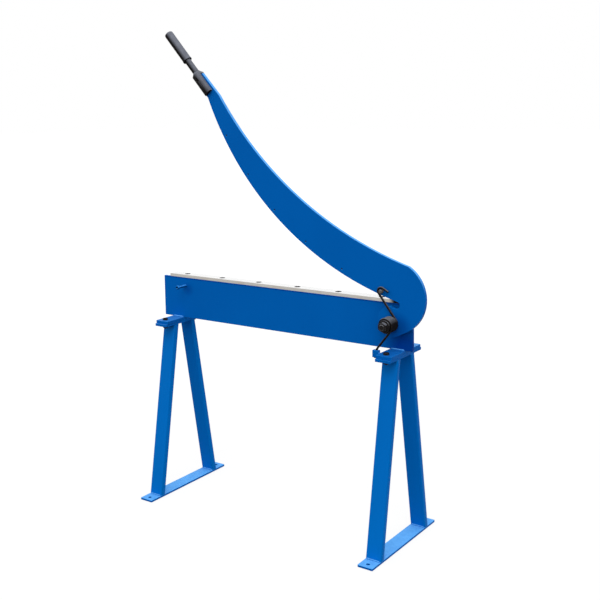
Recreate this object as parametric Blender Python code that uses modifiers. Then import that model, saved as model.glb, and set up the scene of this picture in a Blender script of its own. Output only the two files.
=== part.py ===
"""Lever guillotine shear: a scimitar arm on a plate beam, carried by two leg stands.

Lengths are metres and angles are degrees. X runs along the beam, -Y is the operator's
side and +Z is up. The origin is on the floor, midway between the left end of the beam
and the heel of the arm. The arm is modelled open, as its return spring holds it.
"""
import math

import bmesh
import bpy
from mathutils import Matrix, Vector

# Fits shared by every piece
clearance = 0.0003
cut_overrun = 0.002
weld_distance = 0.00001
plate_edge = 0.0008
plate_corner = 0.003

# Stands
stand_spacing = 1.029
stand_height = 0.721
foot_bar_length = 0.488
foot_bar_width = 0.060
foot_bar_thickness = 0.008
foot_hole_diameter = 0.014
foot_hole_inset = 0.024
leg_width = 0.060
leg_depth = 0.025
leg_wall = 0.0025
leg_corner_radius = 0.003
leg_foot_inset = 0.0595
leg_top_inset = 0.0553
leg_overrun = 0.050
stand_top_length = 0.240
stand_top_width = 0.060
stand_top_thickness = 0.010

# Foot plates welded under the beam, and the bolts that hold them to the stands
shear_foot_setback = 0.0075
shear_foot_width = 0.062
shear_foot_thickness = 0.012
foot_bolt_inset = 0.0225
foot_bolt_diameter = 0.012
foot_bolt_play = 0.0005
foot_bolt_flats = 0.019
foot_bolt_head_height = 0.0075
foot_nut_height = 0.010
foot_bolt_tip = 0.003

# Beam and bed
beam_length = 1.160
beam_height = 0.1684
beam_thickness = 0.012
left_stand_inset = 0.0722
flange_width = 0.040
flange_thickness = 0.012

# Lower blade
lower_blade_length = 1.110
lower_blade_width = 0.050
lower_blade_thickness = 0.012
lower_blade_inset = 0.034
bed_screw_diameter = 0.012
bed_screw_head = 0.024
bed_screw_first = 0.075
bed_screw_pitch = 0.183
bed_screw_count = 6
bed_screw_setback = 0.025
bed_screw_key = 0.008
bed_screw_key_depth = 0.004

# Stop screw that catches the closing arm
stop_inset = 0.1164
stop_drop = 0.0336
stop_diameter = 0.010
stop_reach = 0.055
stop_head_diameter = 0.016
stop_head_length = 0.010
stop_key = 0.008
stop_key_depth = 0.005
stop_chamfer = 0.001

# Pivot
pivot_inset = 0.0705
pivot_drop = 0.0695
pivot_bolt_diameter = 0.020
pivot_bolt_flats = 0.030
pivot_bolt_head_height = 0.0125
pivot_bolt_tip = 0.002
pivot_nut_height = 0.016
spacer_diameter = 0.070
bush_diameter = 0.028
sleeve_diameter = 0.0395
sleeve_length = 0.0525
front_washer_diameter = 0.043
rear_washer_diameter = 0.037
washer_thickness = 0.003
ring_chamfer = 0.0006
hex_chamfer = 0.0015
thread_chamfer = 0.001

# Arm plate, measured from the pivot
arm_thickness = 0.014
edge_radius = 1.2154
edge_normal_angle = 75.913
slot_radius = 0.013
slot_centre_x = 0.0195
slot_centre_z = 0.068
slot_crest_radius = 0.008
slot_fall_angle = 39
slot_fillet_radius = 0.014
boss_radius = 0.0555
boss_rise = 0.0065
boss_start_angle = 98.7
heel_radius = 0.1345
heel_setback = 0.0035
heel_rise = 0.0939
heel_corner_angle = 59.3
back_belly = 0.0919

# Upper blade, measured along the cutting edge from the heel
upper_blade_thickness = 0.010
upper_blade_width = 0.030
upper_blade_start = 0.0255
upper_blade_length = 1.0455
upper_blade_tip_gap = 0.0747
cutting_gap = 0.0003
blade_screw_first = 0.2482
blade_screw_pitch = 0.1817
blade_screw_count = 5
blade_screw_diameter = 0.006
blade_screw_head = 0.012
blade_screw_key = 0.004
blade_screw_key_depth = 0.002
blade_screw_recess = 0.001

# Spring hook bolt
hook_bolt_from_heel = 0.0677
hook_bolt_diameter = 0.014
hook_bolt_head = 0.024
hook_bolt_reach = 0.015
hook_bolt_key = 0.008
hook_bolt_key_depth = 0.004

# Return spring and the lug that holds its lower end
wire_diameter = 0.008
coil_running_gap = 0.0005
coil_turns = 5
coil_points_per_turn = 10
coil_end_flare = 0.003
coil_flare_points = 3
hook_plane_gap = 0.0042
hook_bend_radius = 0.013
hook_bear_angle = 225
hook_end_angle = 60
hook_tail = 0.025
hook_points = 9
lower_leg_flat_run = 0.024
lower_leg_bend_points = 4
lug_width = 0.024
lug_depth = 0.016
lug_height = 0.026
lug_rise = 0.0105
lug_from_beam = 0.078
lug_hole_offset = 0.0015
lug_hole_lean = 12
lug_leg_length = 0.004
spring_tip_length = 0.004

# Handle, measured along its own axis from the tip of the cutting edge
handle_angle = 131.4
tongue_low = 0.0199
tongue_length = 0.0907
tongue_end_high = 0.0237
tongue_kink_high = 0.0266
tongue_kink_back = 0.0284
socket_diameter = 0.050
socket_flats = 0.036
socket_length = 0.108
socket_tip_gap = 0.0083
socket_cone = 0.013
socket_cone_top = 0.030
socket_end_chamfer = 0.001
rod_diameter = 0.026
rod_neck_length = 0.063
rod_stub_diameter = 0.016
rod_stub_length = 0.016
grip_diameter = 0.0355
grip_length = 0.152
grip_lip_diameter = 0.0375
grip_lip_length = 0.005
grip_lip_taper = 0.005
grip_end_wall = 0.010
grip_end_radius = 0.003
set_screw_diameter = 0.006
set_screw_from_tip = 0.068
set_screw_key = 0.003
set_screw_key_depth = 0.002
set_screw_recess = 0.0015

# Finishes: base colour, roughness, metallic
blue_paint = ((0.0, 0.085, 0.345), 0.42, 0.0)
ground_steel = ((0.42, 0.40, 0.37), 0.34, 1.0)
turned_steel = ((0.33, 0.32, 0.31), 0.38, 1.0)
black_oxide = ((0.030, 0.029, 0.031), 0.46, 0.7)
bronze = ((0.42, 0.27, 0.11), 0.40, 1.0)
black_plastic = ((0.090, 0.092, 0.112), 0.62, 0.0)

# Places across the stands, worked out from the ends of their plates
leg_foot_reach = foot_bar_length / 2 - leg_foot_inset
leg_top_reach = stand_top_length / 2 - leg_top_inset
shear_foot_length = stand_top_length - 2 * shear_foot_setback
foot_bolt_reach = shear_foot_length / 2 - foot_bolt_inset

# Levels, worked out upwards from the floor
foot_top = foot_bar_thickness
leg_base = foot_top + clearance
stand_top_base = stand_height - stand_top_thickness
leg_top = stand_top_base - clearance
shear_foot_base = stand_height + clearance
shear_foot_top = shear_foot_base + shear_foot_thickness
beam_base = shear_foot_top + clearance
beam_top = beam_base + beam_height
lower_blade_base = beam_top + clearance
lower_blade_top = lower_blade_base + lower_blade_thickness
pivot_z = beam_top - pivot_drop

# Places along the beam
heel_reach = beam_length - pivot_inset - heel_setback + heel_radius
beam_left = -heel_reach / 2
beam_right = beam_left + beam_length
left_stand_x = beam_left + left_stand_inset
right_stand_x = left_stand_x + stand_spacing
lower_blade_left = beam_left + lower_blade_inset
pivot_x = beam_right - pivot_inset
stop_x = beam_left + stop_inset
stop_z = beam_top - stop_drop

# Layers, worked out from the face of the beam towards the operator
beam_front = -beam_thickness / 2
beam_rear = beam_thickness / 2
upper_blade_rear = beam_front - cutting_gap
upper_blade_front = upper_blade_rear - upper_blade_thickness
arm_rear = upper_blade_front - clearance
arm_front = arm_rear - arm_thickness
arm_middle = (arm_front + arm_rear) / 2
sleeve_rear = arm_front - clearance
sleeve_front = sleeve_rear - sleeve_length
front_washer_rear = sleeve_front - clearance
front_washer_front = front_washer_rear - washer_thickness
pivot_nut_rear = front_washer_front - clearance
pivot_nut_front = pivot_nut_rear - pivot_nut_height
rear_washer_front = beam_rear + clearance
rear_washer_rear = rear_washer_front + washer_thickness
pivot_head_front = rear_washer_rear + clearance
hook_bolt_front = arm_front - hook_bolt_reach

# Round pieces: sides of large and of small ones
large_sides = 32
small_sides = 16
corner_sides = 3

# Points along the curves of the arm and of its blade
edge_points = 44
back_points = 40
heel_points = 30
boss_points = 32
slot_points = 13
crest_points = 5
fillet_points = 4
blade_points = 42


def direction(angle):
    """The unit direction at an angle in degrees, in the plane of the arm."""
    return Vector((math.cos(math.radians(angle)), math.sin(math.radians(angle))))


def arc(centre, radius, start, end, count):
    """Points along an arc, from the start angle to the end angle."""
    step = (end - start) / (count - 1)
    return [centre + radius * direction(start + step * index) for index in range(count)]


def circle(centre, radius, sides):
    """The outline of a full circle."""
    return arc(centre, radius, 0, 360, sides + 1)[:-1]


def rounded_rectangle(width, height, radius):
    """The outline of a rectangle about the origin with round corners."""
    outline = []
    for start, across, along in ((0, 1, 1), (90, -1, 1), (180, -1, -1), (270, 1, -1)):
        centre = Vector((across * (width / 2 - radius), along * (height / 2 - radius)))
        outline += arc(centre, radius, start, start + 90, corner_sides + 1)
    return outline


def arc_radius(chord, belly):
    """The radius of the arc that stands off its chord by the belly."""
    return (chord ** 2 / 4 + belly ** 2) / (2 * belly)


def middle(first, second):
    """The value halfway between two others."""
    return (first + second) / 2


# Points of the arm, measured from the pivot
edge_length = upper_blade_start + upper_blade_length + upper_blade_tip_gap
slot_centre = Vector((slot_centre_x, slot_centre_z))
edge_centre = slot_centre + (slot_radius + edge_radius) * direction(edge_normal_angle)
edge_heel_angle = edge_normal_angle + 180
edge_tip_angle = edge_heel_angle - math.degrees(edge_length / edge_radius)
edge_tip = edge_centre + edge_radius * direction(edge_tip_angle)
boss_centre = Vector((0, boss_rise))
heel_centre = Vector((-heel_setback, heel_rise))
handle_up = direction(handle_angle)
handle_side = direction(handle_angle - 90)
handle_root = edge_tip + tongue_low * handle_side
blade_line_radius = edge_radius - upper_blade_width / 2


def edge_angle(distance):
    """The angle on the cutting edge at a distance from its heel."""
    return edge_heel_angle - math.degrees(distance / edge_radius)


def on_the_blade(distance):
    """The point on the middle line of the upper blade at a distance from the heel of the edge."""
    return edge_centre + blade_line_radius * direction(edge_angle(distance))


blade_screw_places = [
    on_the_blade(blade_screw_first + index * blade_screw_pitch) for index in range(blade_screw_count)
]
hook_bolt_place = on_the_blade(hook_bolt_from_heel)


def new_collection(name):
    """A collection of the scene."""
    group = bpy.data.collections.new(name)
    bpy.context.scene.collection.children.link(group)
    return group


for leftover in list(bpy.data.objects):
    bpy.data.objects.remove(leftover, do_unlink=True)
pieces = new_collection("lever_guillotine_shear")
cutters = new_collection("cutters")


def marker(name, location, parent=None, turn=0):
    """An empty that carries the pieces of one moving group."""
    empty = bpy.data.objects.new(name, None)
    pieces.objects.link(empty)
    empty.parent = parent
    empty.location = location
    empty.rotation_euler = (0, turn, 0)
    return empty


arm_pivot = marker("arm_pivot", (pivot_x, 0, pivot_z))
handle_axis = marker(
    "handle_axis", (handle_root.x, arm_middle, handle_root.y), arm_pivot, math.radians(90 - handle_angle)
)


def dress(piece, finish):
    """Gives a piece a material of its own."""
    colour, roughness, metallic = finish
    material = bpy.data.materials.new(piece.name + "_finish")
    material.use_nodes = True
    shader = material.node_tree.nodes["Principled BSDF"]
    shader.inputs["Base Color"].default_value = (*colour, 1)
    shader.inputs["Roughness"].default_value = roughness
    shader.inputs["Metallic"].default_value = metallic
    material.diffuse_color = (*colour, 1)
    piece.data.materials.clear()
    piece.data.materials.append(material)
    return piece


def add(name, data, location=(0, 0, 0), rotation=(0, 0, 0), parent=None, group=None):
    """An object in the shear's collection, or in the cutters'."""
    piece = bpy.data.objects.new(name, data)
    (group or pieces).objects.link(piece)
    piece.parent = parent
    piece.location = location
    piece.rotation_euler = rotation
    if group == cutters:
        piece.hide_render = True
        piece.display_type = "WIRE"
    return piece


def block(name, low, high, parent=None, group=None):
    """A box between its lowest and highest corners."""
    mesh = bpy.data.meshes.new(name)
    shape = bmesh.new()
    bmesh.ops.create_cube(shape, size=1)
    bmesh.ops.scale(shape, vec=[top - base for base, top in zip(low, high)], verts=shape.verts)
    shape.to_mesh(mesh)
    shape.free()
    centre = [middle(base, top) for base, top in zip(low, high)]
    return add(name, mesh, centre, parent=parent, group=group)


def hex_prism(name, across_flats, bottom, top, parent=None, group=None):
    """A six-sided bar along Z."""
    mesh = bpy.data.meshes.new(name)
    shape = bmesh.new()
    corner_radius = across_flats / 2 / math.cos(math.radians(30))
    bmesh.ops.create_cone(
        shape, cap_ends=True, segments=6, radius1=corner_radius, radius2=corner_radius, depth=top - bottom
    )
    bmesh.ops.translate(shape, vec=(0, 0, middle(bottom, top)), verts=shape.verts)
    shape.to_mesh(mesh)
    shape.free()
    return add(name, mesh, parent=parent, group=group)


def turned(
    name, profile, sides, ring=False, location=(0, 0, 0), rotation=(0, 0, 0), parent=None, group=None
):
    """A profile of (radius, height) points, listed top to bottom on the outside, turned about Z."""
    mesh = bpy.data.meshes.new(name)
    edges = [(index, index + 1) for index in range(len(profile) - 1)]
    if ring:
        edges.append((len(profile) - 1, 0))
    mesh.from_pydata([(radius, 0, height) for radius, height in profile], edges, [])
    piece = add(name, mesh, location, rotation, parent, group)
    screw = piece.modifiers.new("turning", "SCREW")
    screw.steps = sides
    screw.render_steps = sides
    screw.use_merge_vertices = True
    screw.merge_threshold = weld_distance
    screw.use_smooth_shade = False
    return piece


def flat_curve(name, outlines, thickness):
    """Flat stock of a given thickness, cut to the first outline and pierced by the others."""
    curve = bpy.data.curves.new(name, "CURVE")
    curve.dimensions = "2D"
    curve.fill_mode = "BOTH"
    curve.extrude = thickness / 2
    curve.render_resolution_u = 0
    for outline in outlines:
        spline = curve.splines.new("POLY")
        spline.points.add(len(outline) - 1)
        for point, place in zip(spline.points, outline):
            point.co = (place[0], place[1], 0, 1)
        spline.use_cyclic_u = True
    return curve


def ease_edges(piece, width):
    """Takes the sharp corners off a piece."""
    bevel = piece.modifiers.new("eased_edges", "BEVEL")
    bevel.width = width
    bevel.segments = 1
    bevel.limit_method = "ANGLE"
    bevel.angle_limit = math.radians(50)
    return piece


def plate(name, outlines, thickness, location, rotation=(0, 0, 0), parent=None, edge=plate_edge):
    """A plate whose middle plane lies at the location, with its edges eased."""
    piece = add(name, flat_curve(name, outlines, thickness), location, rotation, parent)
    weld = piece.modifiers.new("closed_caps", "WELD")
    weld.merge_threshold = weld_distance
    return ease_edges(piece, edge)


def as_mesh(piece, group=None):
    """Turns a piece into plain welded mesh, where it stands."""
    bpy.context.view_layer.update()
    graph = bpy.context.evaluated_depsgraph_get()
    mesh = bpy.data.meshes.new_from_object(piece.evaluated_get(graph))
    shape = bmesh.new()
    shape.from_mesh(mesh)
    bmesh.ops.remove_doubles(shape, verts=shape.verts, dist=weld_distance)
    shape.to_mesh(mesh)
    shape.free()
    name = piece.name
    place = piece.matrix_world.copy()
    bpy.data.objects.remove(piece, do_unlink=True)
    solid = add(name, mesh, group=group)
    solid.matrix_world = place
    return solid


def cut(piece, tool, operation="DIFFERENCE"):
    """Cuts a piece with a tool, or joins or trims it."""
    boolean = piece.modifiers.new(tool.name, "BOOLEAN")
    boolean.operation = operation
    boolean.solver = "EXACT"
    boolean.object = tool
    return piece


def drill_set(name, pattern, places):
    """Copies of one cutting tool at several places, held together so that they cut at once."""
    solid = as_mesh(pattern)
    mesh = bpy.data.meshes.new(name)
    shape = bmesh.new()
    for place in places:
        start = len(shape.verts)
        shape.from_mesh(solid.data)
        shape.verts.ensure_lookup_table()
        bmesh.ops.transform(shape, matrix=place, verts=shape.verts[start:])
    shape.to_mesh(mesh)
    shape.free()
    bpy.data.objects.remove(solid, do_unlink=True)
    return add(name, mesh, group=cutters)


def fasteners(names, pattern, places, finish, parent=None):
    """Identical fasteners that share one mesh, each seated at its own place."""
    solid = as_mesh(pattern)
    dress(smooth(solid), finish)
    for name, place in zip(names, places):
        fastener = add(name, solid.data, parent=parent)
        fastener.matrix_local = place
    bpy.data.objects.remove(solid, do_unlink=True)


def smooth(piece):
    """Shades a round piece smooth between its sharp edges."""
    piece.data.shade_smooth()
    piece.data.set_sharp_from_angle(angle=math.radians(35))
    return piece


def chamfered(top, bottom, radius, chamfer):
    """The profile of a bar with both ends chamfered."""
    return [
        (0, top),
        (radius - chamfer, top),
        (radius, top - chamfer),
        (radius, bottom + chamfer),
        (radius - chamfer, bottom),
        (0, bottom),
    ]


def ring_profile(top, bottom, radius, bore_radius, chamfer):
    """The closed profile of a ring with its outer corners chamfered."""
    return [
        (radius - chamfer, top),
        (radius, top - chamfer),
        (radius, bottom + chamfer),
        (radius - chamfer, bottom),
        (bore_radius, bottom),
        (bore_radius, top),
    ]


def hex_bolt(name, shank_diameter, shank_length, across_flats, head_height, sides):
    """A hexagon bolt standing on Z = 0, its head above and its shank below."""
    corner_radius = across_flats / 2 / math.cos(math.radians(30))
    shank_radius = shank_diameter / 2
    bolt = hex_prism(name, across_flats, 0, head_height + cut_overrun)
    crown = [
        (0, head_height),
        (across_flats / 2 - hex_chamfer, head_height),
        (corner_radius + cut_overrun, head_height - hex_chamfer - cut_overrun),
        (corner_radius + cut_overrun, -cut_overrun),
        (0, -cut_overrun),
    ]
    cut(bolt, turned(name + "_crown", crown, sides, group=cutters), "INTERSECT")
    shank = chamfered(head_height / 2, -shank_length, shank_radius, thread_chamfer)
    cut(bolt, turned(name + "_shank", shank, sides, group=cutters), "UNION")
    return bolt


def hex_nut(name, bore_diameter, across_flats, height, sides):
    """A hexagon nut that hangs from Z = 0 and is chamfered on both faces."""
    corner_radius = across_flats / 2 / math.cos(math.radians(30)) + cut_overrun
    nut = hex_prism(name, across_flats, -height - cut_overrun, cut_overrun)
    crown = [
        (across_flats / 2 - hex_chamfer, 0),
        (corner_radius, -hex_chamfer - cut_overrun),
        (corner_radius, -height + hex_chamfer + cut_overrun),
        (across_flats / 2 - hex_chamfer, -height),
        (bore_diameter / 2, -height),
        (bore_diameter / 2, 0),
    ]
    return cut(nut, turned(name + "_crown", crown, sides, ring=True, group=cutters), "INTERSECT")


def countersunk_profile(length, shank_diameter, head_diameter, play, lead):
    """A countersunk screw below Z = 0, or its hole, which is wider by the play and led in."""
    head_radius = head_diameter / 2 + 2 * play
    shank_radius = shank_diameter / 2 + play
    cone = head_radius - shank_radius
    return [
        (0, lead),
        (head_radius + lead, lead),
        (shank_radius, -cone),
        (shank_radius, -length),
        (0, -length),
    ]


def countersunk_screw(name, length, shank_diameter, head_diameter, key, key_depth, sides):
    """A countersunk socket screw below Z = 0."""
    screw = turned(name, countersunk_profile(length, shank_diameter, head_diameter, 0, 0), sides)
    return cut(screw, hex_prism(name + "_key", key, -key_depth, cut_overrun, group=cutters))


def countersunk_cutter(name, length, shank_diameter, head_diameter, sides):
    """The tool that makes a through hole for a countersunk screw."""
    depth = length + cut_overrun
    profile = countersunk_profile(depth, shank_diameter, head_diameter, clearance, cut_overrun)
    return turned(name, profile, sides)


def stand(side, centre_x):
    """One stand: a foot bar, two leaning tube legs and a top plate."""
    holes = []
    for end in (-1, 1):
        hole_centre = Vector((0, end * (foot_bar_length / 2 - foot_hole_inset)))
        holes.append(circle(hole_centre, foot_hole_diameter / 2, small_sides))
    foot_outline = rounded_rectangle(foot_bar_width, foot_bar_length, plate_corner)
    level = foot_bar_thickness / 2
    foot_bar = plate(side + "_foot_bar", [foot_outline, *holes], foot_bar_thickness, (centre_x, 0, level))
    dress(foot_bar, blue_paint)

    top_outlines = [rounded_rectangle(stand_top_width, stand_top_length, plate_corner), *foot_bolt_holes()]
    level = stand_height - stand_top_thickness / 2
    top_plate = plate(side + "_stand_top_plate", top_outlines, stand_top_thickness, (centre_x, 0, level))
    dress(top_plate, blue_paint)

    trim = block(
        side + "_leg_trim",
        (centre_x - leg_width, -foot_bar_length, leg_base),
        (centre_x + leg_width, foot_bar_length, leg_top),
        group=cutters,
    )
    for place, facing in (("front", -1), ("rear", 1)):
        leg = leg_tube(side + "_" + place + "_leg", centre_x, facing)
        dress(cut(leg, trim, "INTERSECT"), blue_paint)


def leg_tube(name, centre_x, facing):
    """A rectangular tube along the lean of a leg, left long for the trim at both ends."""
    height = leg_top - leg_base
    lean = math.atan2(leg_foot_reach - leg_top_reach, height) * facing
    outer = rounded_rectangle(leg_width, leg_depth, leg_corner_radius)
    inner_width = leg_width - 2 * leg_wall
    inner_depth = leg_depth - 2 * leg_wall
    inner = [
        Vector((across * inner_width / 2, along * inner_depth / 2))
        for across, along in ((1, 1), (-1, 1), (-1, -1), (1, -1))
    ]
    face_y = facing * middle(leg_foot_reach, leg_top_reach)
    centre_y = face_y - facing * leg_depth / 2 * math.cos(lean)
    centre_z = middle(leg_base, leg_top) - leg_depth / 2 * math.sin(abs(lean))
    section = flat_curve(name, [outer, inner], height + 2 * leg_overrun)
    return as_mesh(add(name, section, (centre_x, centre_y, centre_z), (lean, 0, 0)))


def foot_bolt_holes():
    """The two bolt holes that the stand's top plate and the shear's foot plate share."""
    radius = foot_bolt_diameter / 2 + foot_bolt_play
    return [circle(Vector((0, end * foot_bolt_reach)), radius, small_sides) for end in (-1, 1)]


def feet_of_the_shear():
    """The two foot plates and the bolts that clamp them to the stands."""
    outline = rounded_rectangle(shear_foot_width, shear_foot_length, plate_corner)
    level = middle(shear_foot_base, shear_foot_top)
    for side, centre_x in (("left", left_stand_x), ("right", right_stand_x)):
        name = side + "_shear_foot"
        foot = plate(name, [outline, *foot_bolt_holes()], shear_foot_thickness, (centre_x, 0, level))
        dress(foot, blue_paint)

    bolt_places = [
        (centre_x, end * foot_bolt_reach) for centre_x in (left_stand_x, right_stand_x) for end in (-1, 1)
    ]
    corners = ("left_front", "left_rear", "right_front", "right_rear")
    grip_depth = shear_foot_top + clearance - stand_top_base
    nut_level = stand_top_base - clearance
    shank_length = grip_depth + clearance + foot_nut_height + foot_bolt_tip
    bolt = hex_bolt(
        "foot_bolt",
        foot_bolt_diameter,
        shank_length,
        foot_bolt_flats,
        foot_bolt_head_height,
        small_sides,
    )
    seats = [Matrix.Translation((x, y, shear_foot_top + clearance)) for x, y in bolt_places]
    fasteners([place + "_foot_bolt" for place in corners], bolt, seats, black_oxide)
    nut_bore = foot_bolt_diameter + 2 * clearance
    nut = hex_nut("foot_nut", nut_bore, foot_bolt_flats, foot_nut_height, small_sides)
    seats = [Matrix.Translation((x, y, nut_level)) for x, y in bolt_places]
    fasteners([place + "_foot_nut" for place in corners], nut, seats, black_oxide)


def cross_pin(name, radius, x, z, group=cutters):
    """A tool that bores across the beam."""
    reach = beam_thickness + cut_overrun
    profile = [(0, reach), (radius, reach), (radius, -reach), (0, -reach)]
    across = (math.radians(90), 0, 0)
    return turned(name, profile, large_sides, location=(x, 0, z), rotation=across, group=group)


def beam():
    """The upright plate and the flat that is welded behind its top edge to carry the blade."""
    web = block("beam_plate", (beam_left, beam_front, beam_base), (beam_right, beam_rear, beam_top))
    ease_edges(web, plate_edge)
    cut(web, cross_pin("pivot_bore", pivot_bolt_diameter / 2 + clearance, pivot_x, pivot_z))
    cut(web, cross_pin("stop_bore", stop_diameter / 2 + clearance, stop_x, stop_z))
    dress(web, blue_paint)

    flange_front = beam_rear + clearance
    flange = block(
        "bed_flange",
        (lower_blade_left, flange_front, beam_top - flange_thickness),
        (lower_blade_left + lower_blade_length, flange_front + flange_width, beam_top),
    )
    ease_edges(flange, plate_edge)
    return dress(flange, blue_paint)


def lower_blade(flange):
    """The ground bar on the bed and the countersunk screws that hold it to the flange."""
    blade = block(
        "lower_blade",
        (lower_blade_left, beam_front, lower_blade_base),
        (lower_blade_left + lower_blade_length, beam_front + lower_blade_width, lower_blade_top),
    )
    screw_y = beam_front + bed_screw_setback
    first_x = lower_blade_left + bed_screw_first
    screw_x = [first_x + index * bed_screw_pitch for index in range(bed_screw_count)]
    seats = [Matrix.Translation((x, screw_y, lower_blade_top)) for x in screw_x]
    screw_length = lower_blade_thickness + clearance + flange_thickness
    tool = countersunk_cutter("bed_hole", screw_length, bed_screw_diameter, bed_screw_head, small_sides)
    holes = drill_set("bed_holes", tool, seats)
    cut(blade, holes)
    cut(flange, holes)
    dress(blade, ground_steel)

    screw = countersunk_screw(
        "bed_screw",
        screw_length,
        bed_screw_diameter,
        bed_screw_head,
        bed_screw_key,
        bed_screw_key_depth,
        small_sides,
    )
    sunk_seats = [Matrix.Translation((x, screw_y, lower_blade_top - clearance)) for x in screw_x]
    names = [f"lower_blade_screw_{index + 1}" for index in range(bed_screw_count)]
    fasteners(names, screw, sunk_seats, black_oxide)


def stop_screw():
    """The cap screw through the beam that the closing arm comes down on."""
    head_radius = stop_head_diameter / 2
    shank_radius = stop_diameter / 2
    rear = -stop_reach - beam_thickness
    profile = [
        (0, 0),
        (head_radius - stop_chamfer, 0),
        (head_radius, -stop_chamfer),
        (head_radius, -stop_head_length),
        (shank_radius, -stop_head_length),
        (shank_radius, rear + stop_chamfer),
        (shank_radius - stop_chamfer, rear),
        (0, rear),
    ]
    facing = math.radians(90)
    front = (stop_x, beam_front - stop_reach, stop_z)
    key = as_mesh(hex_prism("stop_key", stop_key, -stop_key_depth, cut_overrun), group=cutters)
    key.location = front
    key.rotation_euler = (facing, 0, 0)
    screw = turned("arm_stop_screw", profile, large_sides, location=front, rotation=(facing, 0, 0))
    dress(cut(screw, key), blue_paint)


def pivot_ring(name, front, rear, diameter, bore_diameter, finish, parent=None):
    """A ring on the pivot between two faces across the beam."""
    profile = ring_profile(rear, front, diameter / 2, bore_diameter / 2, ring_chamfer)
    place = (0, 0, 0) if parent else (pivot_x, 0, pivot_z)
    along_y = (math.radians(-90), 0, 0)
    ring = turned(name, profile, large_sides, ring=True, location=place, rotation=along_y, parent=parent)
    return dress(ring, finish)


def pivot():
    """The stack on the pivot bolt: washer, beam, spacer, arm, sleeve, washer and nut."""
    bore = pivot_bolt_diameter + 2 * clearance
    spacer_front = arm_rear + clearance
    spacer_rear = beam_front - clearance
    for name, front, rear, diameter, finish in (
        ("thrust_spacer", spacer_front, spacer_rear, spacer_diameter, turned_steel),
        ("pivot_sleeve", sleeve_front, sleeve_rear, sleeve_diameter, black_oxide),
        ("pivot_front_washer", front_washer_front, front_washer_rear, front_washer_diameter, black_oxide),
        ("pivot_rear_washer", rear_washer_front, rear_washer_rear, rear_washer_diameter, black_oxide),
    ):
        pivot_ring(name, front, rear, diameter, bore, finish)
    pivot_ring("pivot_bush", arm_front, arm_rear, bush_diameter, bore, bronze, arm_pivot)

    turn = Matrix.Rotation(math.radians(-90), 4, "X")
    shank_length = pivot_head_front - pivot_nut_front + pivot_bolt_tip
    bolt = hex_bolt(
        "pivot_bolt_blank",
        pivot_bolt_diameter,
        shank_length,
        pivot_bolt_flats,
        pivot_bolt_head_height,
        large_sides,
    )
    seat = Matrix.Translation((pivot_x, pivot_head_front, pivot_z)) @ turn
    fasteners(["pivot_bolt"], bolt, [seat], black_oxide)
    nut = hex_nut("pivot_nut_blank", bore, pivot_bolt_flats, pivot_nut_height, large_sides)
    seat = Matrix.Translation((pivot_x, pivot_nut_rear, pivot_z)) @ turn
    fasteners(["pivot_nut"], nut, [seat], black_oxide)


def arm_outline():
    """The outline of the arm: cutting edge, tongue, back, heel, boss and relief slot, clockwise."""
    tongue_end = handle_root + tongue_length * handle_up
    kink = handle_root - tongue_kink_back * handle_up + tongue_kink_high * handle_side
    heel_corner = heel_centre + heel_radius * direction(heel_corner_angle)
    back_chord = heel_corner - kink
    back_radius = arc_radius(back_chord.length, back_belly)
    back_half_angle = math.degrees(math.asin(back_chord.length / 2 / back_radius))
    back_angle = math.degrees(math.atan2(back_chord.y, back_chord.x)) - 90
    back_centre = kink + back_radius * direction(back_angle + 180 - back_half_angle)

    between = boss_centre - heel_centre
    lean = math.degrees(math.acos((heel_radius - boss_radius) / between.length))
    tangent_angle = math.degrees(math.atan2(between.y, between.x)) + lean

    outline = arc(edge_centre, edge_radius, edge_heel_angle, edge_tip_angle, edge_points)
    outline.append(tongue_end - tongue_low * handle_side)
    outline.append(tongue_end + tongue_end_high * handle_side)
    back_start = back_angle - back_half_angle
    outline += arc(back_centre, back_radius, back_start, back_start + 2 * back_half_angle, back_points)
    outline += arc(heel_centre, heel_radius, heel_corner_angle, tangent_angle, heel_points)[1:]
    outline += arc(boss_centre, boss_radius, tangent_angle, boss_start_angle - 360, boss_points)
    # The top of the boss rolls over a crest and falls to the floor of the relief slot
    crest_centre = boss_centre + (boss_radius - slot_crest_radius) * direction(boss_start_angle)
    crest_end_angle = 90 - slot_fall_angle
    outline += arc(crest_centre, slot_crest_radius, boss_start_angle, crest_end_angle, crest_points)[1:]
    fillet_level = slot_centre.y - slot_radius + slot_fillet_radius
    fillet_start = slot_fillet_radius * direction(-90 - slot_fall_angle)
    drop = outline[-1].y - fillet_level - fillet_start.y
    run = drop / math.tan(math.radians(slot_fall_angle))
    fillet_centre = Vector((outline[-1].x + run - fillet_start.x, fillet_level))
    outline += arc(fillet_centre, slot_fillet_radius, -90 - slot_fall_angle, -90, fillet_points)
    outline += arc(slot_centre, slot_radius, -90, edge_normal_angle, slot_points)[:-1]
    return outline


def arm_plate():
    """The scimitar plate with its holes for the bush, the blade screws and the hook bolt."""
    holes = [circle(Vector((0, 0)), bush_diameter / 2 + clearance, large_sides)]
    for place in blade_screw_places:
        holes.append(circle(place, blade_screw_diameter / 2 + clearance, small_sides))
    holes.append(circle(hook_bolt_place, hook_bolt_diameter / 2 + clearance, small_sides))
    upright = (math.radians(90), 0, 0)
    arm = plate("arm_plate", [arm_outline(), *holes], arm_thickness, (0, arm_middle, 0), upright, arm_pivot)
    dress(arm, blue_paint)


def behind_the_arm(place, level):
    """The seat of a screw that enters from behind, at a place measured from the pivot."""
    turn = Matrix.Rotation(math.radians(-90), 4, "X")
    return Matrix.Translation((place.x, level, place.y)) @ turn


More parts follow.
